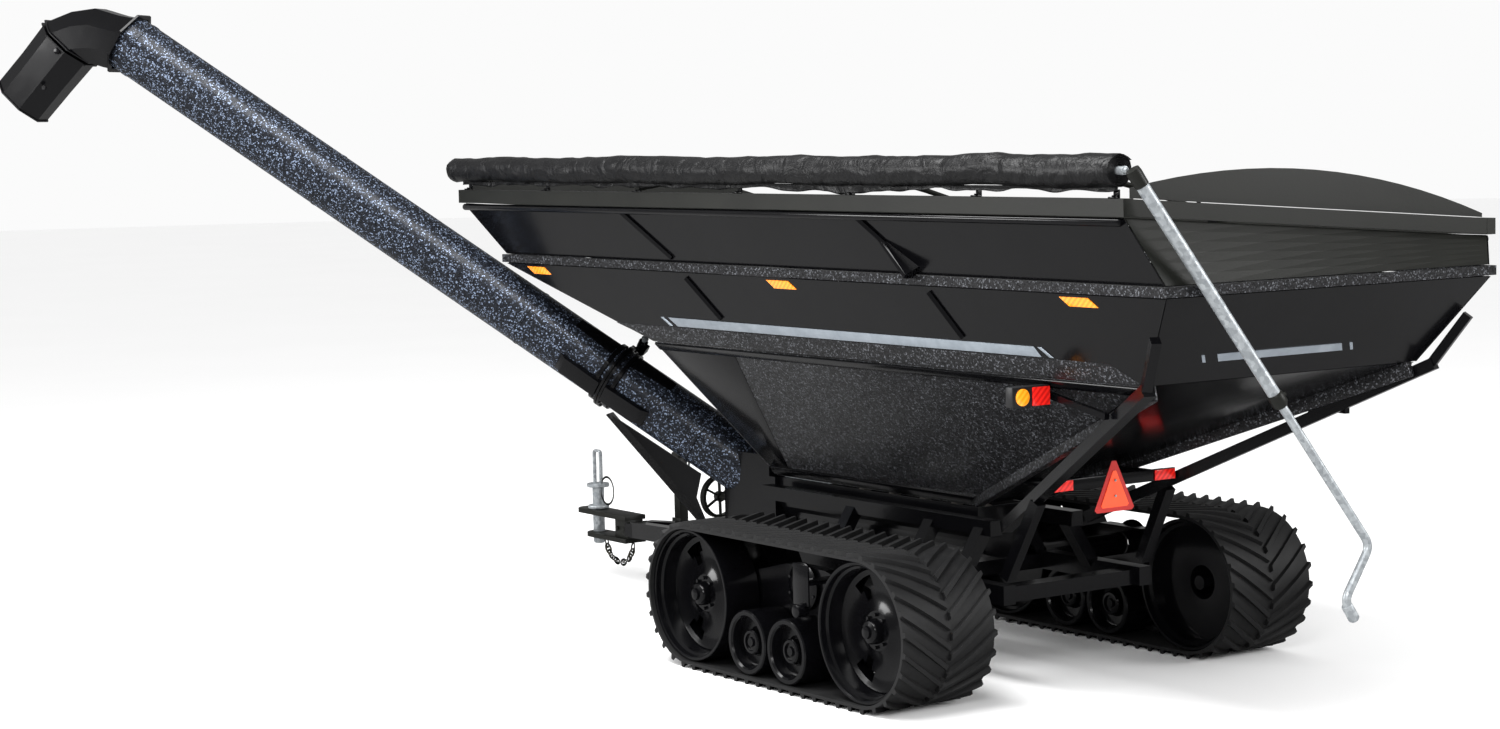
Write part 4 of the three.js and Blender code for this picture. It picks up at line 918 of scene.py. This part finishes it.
# Wheels are pressed steel discs welded into rolled rims, two to an axle, with three triangular
# windows in the dished disc, a bolt circle and a greased hub cap. Rollers are turned solid.
for word, side in (("left", 1), ("right", -1)):
    for name in ("front_wheel", "rear_wheel"):
        low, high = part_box(word + "_" + name)
        centre = (low + high) / 2
        out = Vector((0, side, 0))
        bm = bmesh.new()
        web = [(0.470, 0.215), (0.430, 0.200), (0.345, 0.186), (0.250, 0.190), (0.185, 0.215), (0.150, 0.235)]
        turned_in(bm, web, centre, out, 48)
        for f in list(bm.faces):
            at_face = f.calc_center_median() - centre
            radius = math.hypot(at_face.x, at_face.z)
            angle = math.degrees(math.atan2(at_face.z, at_face.x * side)) % 120
            wide = 34 if radius > 0.33 else 14
            if 0.24 < radius < 0.43 and abs(angle - 60) < wide / 2:
                bm.faces.remove(f)
        bmesh.ops.recalc_face_normals(bm, faces=bm.faces)
        bmesh.ops.solidify(bm, geom=list(bm.faces), thickness=0.012)
        rim = [(WHEEL_R, 0.078), (WHEEL_R, 0.396), (WHEEL_R - 0.006, 0.400), (WHEEL_R - 0.022, 0.400),
               (WHEEL_R - 0.030, 0.392), (WHEEL_R - 0.036, 0.350), (WHEEL_R - 0.055, 0.335),
               (WHEEL_R - 0.062, 0.230), (WHEEL_R - 0.075, 0.205), (WHEEL_R - 0.075, 0.078),
               (WHEEL_R, 0.078)]
        turned_in(bm, rim, centre, out, 72)
        inner = [(WHEEL_R, -0.078), (WHEEL_R, -0.396), (WHEEL_R - 0.006, -0.400), (WHEEL_R - 0.026, -0.400),
                 (WHEEL_R - 0.036, -0.350), (WHEEL_R - 0.060, -0.330), (WHEEL_R - 0.065, -0.230),
                 (0.14, -0.215), (0.14, -0.078), (WHEEL_R, -0.078)]
        turned_in(bm, inner, centre, out, 72)
        hub = [(0, -0.250), (0.058, -0.250), (0.058, 0.150), (0.150, 0.160), (0.165, 0.175), (0.165, 0.232),
               (0.155, 0.240), (0.098, 0.244), (0.094, 0.300), (0.082, 0.318), (0.050, 0.328), (0.044, 0.350),
               (0.020, 0.356), (0, 0.356)]
        turned_in(bm, hub, centre, out, 48)
        for i in range(8):
            angle = 2 * math.pi * i / 8
            base = centre + Vector((math.cos(angle) * 0.126, side * 0.242, math.sin(angle) * 0.126))
            rod_in(bm, base, base + out * 0.022, 0.014, 6)
        made = piece(word + "_" + name + "_pressing", bm, word + "_" + name, gloss, 32)
        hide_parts(word + "_" + name)
    for name in ("front_roller", "rear_roller"):
        low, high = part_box(word + "_" + name)
        centre = (low + high) / 2
        out = Vector((0, side, 0))
        bm = bmesh.new()
        for way in (1, -1):
            drum = [(0, 0.078), (ROLLER_R, 0.078), (ROLLER_R, 0.390), (ROLLER_R - 0.010, 0.400),
                    (ROLLER_R - 0.040, 0.400), (ROLLER_R - 0.052, 0.385), (ROLLER_R - 0.058, 0.300),
                    (0.120, 0.290), (0.105, 0.300), (0.100, 0.350), (0.090, 0.360), (0.070, 0.362),
                    (0.066, 0.345), (0.040, 0.345), (0.034, 0.362), (0, 0.362)]
            turned_in(bm, drum, centre, out * way, 48)
        rod_in(bm, centre - out * 0.09, centre + out * 0.09, 0.056, 20)
        made = piece(word + "_" + name + "_drum", bm, word + "_" + name, gloss, 32)
        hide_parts(word + "_" + name)

# The bogie beam is a welded plate box between the wheel halves, with bearing housings at the axles
# and a pivot cap outside, held by a ring of bolts.
for word, side in (("left", 1), ("right", -1)):
    paint(gloss, word + "_track_frame")
    low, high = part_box(word + "_track_frame")
    middle = (low.y + high.y) / 2
    pivot = Vector((spot(3.84, 0, 0).x, middle + side * 0.061, 0.780))
    out = Vector((0, side, 0))
    bm = bmesh.new()
    cap = [(0.100, 0), (0.185, 0), (0.190, 0.010), (0.190, 0.030), (0.150, 0.045), (0.110, 0.050),
           (0.100, 0.050), (0.100, 0)]
    turned_in(bm, cap, pivot, out, 40)
    for i in range(8):
        angle = 2 * math.pi * (i + 0.5) / 8
        base = pivot + Vector((math.cos(angle) * 0.168, side * 0.028, math.sin(angle) * 0.168))
        rod_in(bm, base, base + out * 0.018, 0.013, 6)
    hang_low = Vector((spot(3.42, 0, 0).x, middle + side * 0.064, 0.62))
    hull_in(
        bm,
        (hang_low.x - 0.10, min(hang_low.y, hang_low.y + side * 0.34), 0.88),
        (hang_low.x + 0.10, max(hang_low.y, hang_low.y + side * 0.34), 0.90),
        0.004,
    )
    hull_in(
        bm,
        (hang_low.x - 0.10, min(hang_low.y + side * 0.33, hang_low.y + side * 0.345), 0.72),
        (hang_low.x + 0.10, max(hang_low.y + side * 0.33, hang_low.y + side * 0.345), 1.04),
        0.004,
    )
    boss = hang_low + Vector((0, 0, 0.06))
    rod_in(bm, boss + out * 0.30, boss + out * 0.40, 0.05, 24, 0.006)
    piece(word + "_bogie_fittings", bm, word + "_bogie", gloss, 32)

# ---------------------------------------------------------------- hitch
# The drawbar clevis is flame-cut plate with a wear bush, locked by a zinc-plated pin whose flat loop
# handle lifts it out. A lanyard ring and a short forged safety chain hang on it.
low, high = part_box("hitch_clevis")
pin_low, pin_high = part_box("hitch_pin")
pin_middle = (pin_low + pin_high) / 2
PLATE, CLEVIS_HALF = 0.044, 0.120
bm = bmesh.new()
for z, reach in ((0.596, high.x), (0.372, low.x + 0.796)):
    outline = []
    centre_x = reach - CLEVIS_HALF
    for i in range(13):
        angle = -math.pi / 2 + math.pi * i / 12
        forward, sideways = CLEVIS_HALF * math.cos(angle), CLEVIS_HALF * math.sin(angle)
        outline.append(Vector((centre_x + forward, pin_middle.y + sideways, z)))
    outline += [Vector((low.x, pin_middle.y + way * CLEVIS_HALF, z)) for way in (1, -1)]
    plate_in(bm, outline, PLATE, 0.006)
    bush = [(0.063, -0.004), (0.088, -0.004), (0.088, PLATE + 0.004), (0.063, PLATE + 0.004), (0.063, -0.004)]
    turned_in(bm, bush, Vector((pin_middle.x, pin_middle.y, z)), UP, 36)
hull_in(bm, (low.x, pin_middle.y - 0.09, 0.41), (low.x + 0.236, pin_middle.y + 0.09, 0.60), 0.008)
for way in (1, -1):
    for x in (0.06, 0.18):
        base = Vector((low.x + x, pin_middle.y + way * 0.088, 0.505))
        rod_in(bm, base, base + Vector((0, way * 0.02, 0)), 0.022, 6)
clevis = piece("drawbar_clevis", bm, "clevis", satin, 32)
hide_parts("hitch_clevis")

base = Vector((pin_middle.x, pin_middle.y, pin_low.z))
bm = bmesh.new()
shank = [(0, 0), (0.045, 0), (0.058, 0.016), (0.058, 0.344), (0.100, 0.346), (0.105, 0.352), (0.105, 0.374),
         (0.100, 0.380), (0.058, 0.382), (0.058, 0.556), (0.106, 0.560), (0.112, 0.566), (0.112, 0.590),
         (0.106, 0.596), (0, 0.600)]
turned_in(bm, shank, base, UP, 40)
handle = ((-0.058, 0.590), (-0.058, 0.918), (0.058, 0.918), (0.058, 0.590))
loop = [Vector((base.x + x, base.y, base.z + z)) for x, z in handle]
route = rounded_route(loop, 0.035)
stations = []
for i, point in enumerate(route):
    near, beyond = route[max(0, i - 1)], route[min(len(route) - 1, i + 1)]
    across = (beyond - near).normalized()
    side_of = Vector((0, 1, 0))
    turn = Matrix((across.cross(side_of), side_of, across)).transposed().to_4x4()
    stations.append(Matrix.Translation(point) @ turn @ Matrix.Diagonal((0.014, 0.020, 1, 1)))
loft_in(bm, stations, 12)
drawbar_pin = piece("drawbar_pin", bm, "pin", zinc, 40)
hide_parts("hitch_pin")

# Forged steel that has weathered: dull grey-brown, with stains about 30 mm across.
forged = mottled_material(
    "forged_chain_steel",
    {"Metallic": 0.8, "Roughness": 0.5},
    {"Scale": 30, "Detail": 4},
    ("#4a463c", "#8c867a"),
)


def link_in(bm, centre, along, side_dir, long_half, wide_half, wire, steps=20):
    turn = Matrix((side_dir, along.cross(side_dir), along)).transposed().to_4x4()
    before = set(bm.verts)
    made = bmesh.ops.create_circle(
        bm, segments=8, radius=wire, cap_ends=False,
        matrix=Matrix.Translation((1, 0, 0)) @ Matrix.Rotation(math.pi / 2, 4, "X"),
    )
    edges = list({e for v in made["verts"] for e in v.link_edges})
    full_turn = {"cent": (0, 0, 0), "axis": (0, 1, 0), "angle": 2 * math.pi, "steps": steps}
    bmesh.ops.spin(bm, geom=made["verts"] + edges, use_merge=True, **full_turn)
    new = [v for v in bm.verts if v not in before]
    bmesh.ops.remove_doubles(bm, verts=new, dist=1e-5)
    new = [v for v in bm.verts if v not in before]
    for v in new:
        around = Vector((v.co.x, 0, v.co.z))
        ring = around.normalized()
        fat = around.length - 1
        v.co = Vector((ring.x * wide_half + ring.x * fat, v.co.y, ring.z * long_half + ring.z * fat))
    bmesh.ops.transform(bm, matrix=Matrix.Translation(centre) @ turn, verts=new)


LINKS = 11
bm = bmesh.new()
hang = ((9.600, 0.318), (9.560, 0.215), (9.430, 0.150), (9.280, 0.150), (9.165, 0.220), (9.120, 0.318))
route = rounded_route([spot(x, 0, z) for x, z in hang], 0.06)
total = sum((b - a).length for a, b in zip(route, route[1:]))
for i in range(LINKS):
    goal, passed = total * i / (LINKS - 1), 0.0
    for a, b in zip(route, route[1:]):
        step = (b - a).length
        if passed + step >= goal - 1e-9:
            break
        passed += step
    centre = a.lerp(b, min(1.0, (goal - passed) / max(step, 1e-9)))
    along = (b - a).normalized()
    across = Vector((0, 1, 0)) if i % 2 else along.cross(Vector((0, 1, 0)))
    link_in(bm, centre, along, across, 0.050, 0.026, 0.012)
chain = piece("forged_chain", bm, "clevis", forged, 60)
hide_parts("safety_chain")
bm = bmesh.new()
ring_at = Vector((pin_middle.x - 0.17, pin_middle.y, 0.835))
link_in(bm, ring_at, UP, AHEAD, 0.135, 0.12, 0.011, 36)
piece("lanyard_ring", bm, "pin", forged, 60)

# ---------------------------------------------------------------- parking jack
# A square drop-leg jack: an outer tube on a pivot plate, a side crank on a gear head, and a zinc leg
# with a plate foot.
low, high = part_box("jack_body")
middle = Vector(((low.x + high.x) / 2, low.y + 0.050, 0))
bm = bmesh.new()
for half, foot, head, bevel in ((0.050, 0.520, 1.225, 0.008), (0.062, 1.215, 1.268, 0.012)):
    hull_in(bm, (middle.x - half, middle.y - half, foot), (middle.x + half, middle.y + half, head), bevel)
rod_in(bm, Vector((middle.x, middle.y + 0.048, 0.560)), Vector((middle.x, high.y, 0.560)), 0.045, 28, 0.005)
hull_in(bm, (middle.x - 0.075, middle.y + 0.050, 0.49), (middle.x + 0.075, middle.y + 0.062, 0.63), 0.006)
jack = piece("jack_tube", bm, "jack", satin, 32)
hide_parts("jack_body")
bm = bmesh.new()
arm = [Vector((middle.x, middle.y - 0.055, 1.18)), Vector((middle.x, middle.y - 0.105, 1.18)),
       Vector((middle.x + 0.02, middle.y - 0.105, 1.02)), Vector((middle.x + 0.02, middle.y - 0.19, 1.02))]
swept_in(bm, rounded_route(arm, 0.025), 0.011, 12)
piece("jack_crank", bm, "jack", zinc, 50)
low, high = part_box("jack_leg")
bm = bmesh.new()
hull_in(bm, (middle.x - 0.038, middle.y - 0.038, 0.440), (middle.x + 0.038, middle.y + 0.038, 1.150), 0.005)
hull_in(bm, (low.x, low.y, low.z), (high.x, high.y, low.z + 0.016), 0.005)
for x, y in ((1, 1), (1, -1), (-1, 1), (-1, -1)):
    corner = Vector((middle.x + x * 0.03, middle.y + y * 0.02, low.z + 0.015))
    bar_in(bm, corner, corner + Vector((0, 0, 0.03)), 0.012, 0.012, 0.002)
leg = piece("jack_foot_leg", bm, "jack_foot", zinc, 32)
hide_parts("jack_leg")

# ---------------------------------------------------------------- belt drive sheave
# Cast iron sheave with three V grooves, six spokes and a keyed hub, sprayed with the frame.
low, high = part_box("drive_sheave")
SHEAVE = (high.z - low.z) / 2
centre = Vector((high.x - 0.080, (low.y + high.y) / 2, (low.z + high.z) / 2))
bm = bmesh.new()
grooves = [(SHEAVE, 0)]
for i in range(3):
    grooves += [(SHEAVE, 0.005 + i * 0.018), (SHEAVE - 0.014, 0.011 + i * 0.018), (SHEAVE, 0.018 + i * 0.018)]
grooves += [(SHEAVE, 0.060), (SHEAVE - 0.030, 0.060), (SHEAVE - 0.030, 0), (SHEAVE, 0)]
turned_in(bm, grooves, centre, AHEAD, 56)
hub = [(0, 0), (0.045, 0), (0.048, 0.004), (0.048, 0.060), (0.032, 0.064), (0.030, 0.080), (0, 0.080)]
turned_in(bm, hub, centre, AHEAD, 32)
rod_in(bm, Vector((low.x, centre.y, centre.z)), centre + Vector((0.01, 0, 0)), 0.030, 24)
for i in range(6):
    angle = math.pi * i / 3 + 0.5
    out = Vector((0, math.cos(angle), math.sin(angle)))
    inset = centre + Vector((0.030, 0, 0))
    bar_in(bm, inset + out * 0.040, inset + out * (SHEAVE - 0.024), 0.032, 0.018, 0.004)
sheave = piece("v_belt_sheave", bm, "sheave", satin, 32)
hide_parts("drive_sheave")

# ---------------------------------------------------------------- rear marking
# A slow-vehicle triangle of fluorescent orange film with a red border hangs on the rear crossbar,
# which also carries a red reflector at each end. The plate under the film is aluminium.
# Both films also emit their own colour at strength 0.15: a painted glow, which on the orange film stands in
# for its fluorescence.
def film_material(name, dark, light):
    material, tree, shader, where = new_material(
        name, {"Roughness": 0.42, "Coat Weight": 0.3, "Coat Roughness": 0.2, "Emission Strength": 0.15}
    )
    fade = add_node(tree, "ShaderNodeTexNoise", values={"Scale": 8, "Detail": 4}, links={"Vector": where})
    tone_and_painted_glow = add_node(tree, "ShaderNodeMix", {"data_type": "RGBA"}, links={"Factor": fade.outputs["Fac"]})
    tone_and_painted_glow.inputs["A"].default_value, tone_and_painted_glow.inputs["B"].default_value = linear(dark), linear(light)
    tree.links.new(tone_and_painted_glow.outputs["Result"], shader.inputs["Base Color"])
    tree.links.new(tone_and_painted_glow.outputs["Result"], shader.inputs["Emission Color"])
    return material


orange_film = film_material("fluorescent_orange_film", "#f2481c", "#ff5a28")
red_film = film_material("red_reflective_film_painted_glow", "#a3140f", "#c41f17")
# the red reflectors and tail lenses carry painted prism lines and a painted glow
red = prism_material("red_prism_acrylic_painted_light", "#b01410", "#e02018")
low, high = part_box("slow_vehicle_sign")
sign_middle = (low.y + high.y) / 2


def triangle(half, tip, foot, head, x):
    outline = [(half, foot), (half - tip, foot - tip), (-half + tip, foot - tip), (-half, foot)]
    outline += [(-tip, head), (tip, head)]
    return [Vector((x, sign_middle + y, z)) for y, z in outline][::-1]


foot = low.z + 0.022
bm = bmesh.new()
plate_in(bm, triangle(0.200, 0.022, foot, high.z, high.x), high.x - low.x - 0.0005, 0.0015)
border = piece("sign_border", bm, "cart", red_film)
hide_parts("slow_vehicle_sign")
bm = bmesh.new()
plate_in(bm, triangle(0.142, 0.016, foot + 0.028, high.z - 0.075, low.x), 0.0035, 0.001)
piece("sign_centre", bm, "cart", orange_film)
bm = bmesh.new()
for z in (foot + 0.10, foot + 0.22):
    rod_in(bm, Vector((low.x - 0.0035, sign_middle, z)), Vector((low.x - 0.012, sign_middle, z)), 0.010, 6)
piece("sign_bolts", bm, "cart", zinc)

low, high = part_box("rear_crossbar")
bm = bmesh.new()
hull_in(bm, low, (low.x + 0.030, high.y, high.z), 0.005)
for y in (0.48, -0.48):
    start = Vector((low.x + 0.028, sign_middle + y, (low.z + high.z) / 2))
    bar_in(bm, start, Vector((high.x, start.y, start.z)), 0.060, 0.060, 0.006)
    hull_in(bm, (low.x + 0.028, start.y - 0.06, low.z), (low.x + 0.040, start.y + 0.06, high.z), 0.004)
crossbar = piece("rear_bar", bm, "cart", gloss)
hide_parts("rear_crossbar")
bm = bmesh.new()
for y in (low.y + 0.115, high.y - 0.115):
    hull_in(bm, (low.x - 0.010, y - 0.105, low.z + 0.005), (low.x - 0.0005, y + 0.105, high.z - 0.005), 0.003)
piece("rear_reflectors", bm, "cart", red)

# Tail lamps: a moulded housing with a round amber turn lens outboard and a square red lens inboard.
# Moulded polypropylene has a fine grain that keeps it from shining.
housing = mottled_material(
    "moulded_black_polypropylene",
    {"Roughness": 0.45},
    {"Scale": 40, "Detail": 3},
    ("#0d0d0e", "#1a1a1c"),
    relief=((None, 0.15, 0.002),),
)
# the turn lenses carry painted prism lines and a painted glow
lens_amber = prism_material("amber_lens_acrylic_painted_light", "#f08a12", "#ffa428")
for word, side in (("left", 1), ("right", -1)):
    low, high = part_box("lamp_" + word)
    middle = (low + high) / 2
    bm = bmesh.new()
    hull_in(bm, (low.x + 0.014, low.y, low.z), high, 0.010)
    mount = Vector((high.x - 0.004, middle.y - 0.04, middle.z - 0.04))
    hull_in(bm, mount, mount + Vector((0.016, 0.08, 0.08)), 0.004)
    shell = piece("lamp_housing_" + word, bm, "cart", housing)
    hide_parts("lamp_" + word)
    bm = bmesh.new()
    face = Vector((low.x + 0.0135, middle.y + side * 0.083, middle.z))
    dome = [(0, 0), (0.062, 0), (0.062, 0.006), (0.050, 0.012), (0.020, 0.0135), (0, 0.0135)]
    turned_in(bm, dome, face, -AHEAD, 40)
    piece("turn_lens_" + word, bm, "cart", lens_amber, 50)
    bm = bmesh.new()
    inner, outer = sorted((middle.y - side * 0.005, middle.y - side * 0.165))
    hull_in(bm, (low.x + 0.001, inner, low.z + 0.008), (low.x + 0.0135, outer, high.z - 0.008), 0.004)
    piece("tail_lens_" + word, bm, "cart", red)
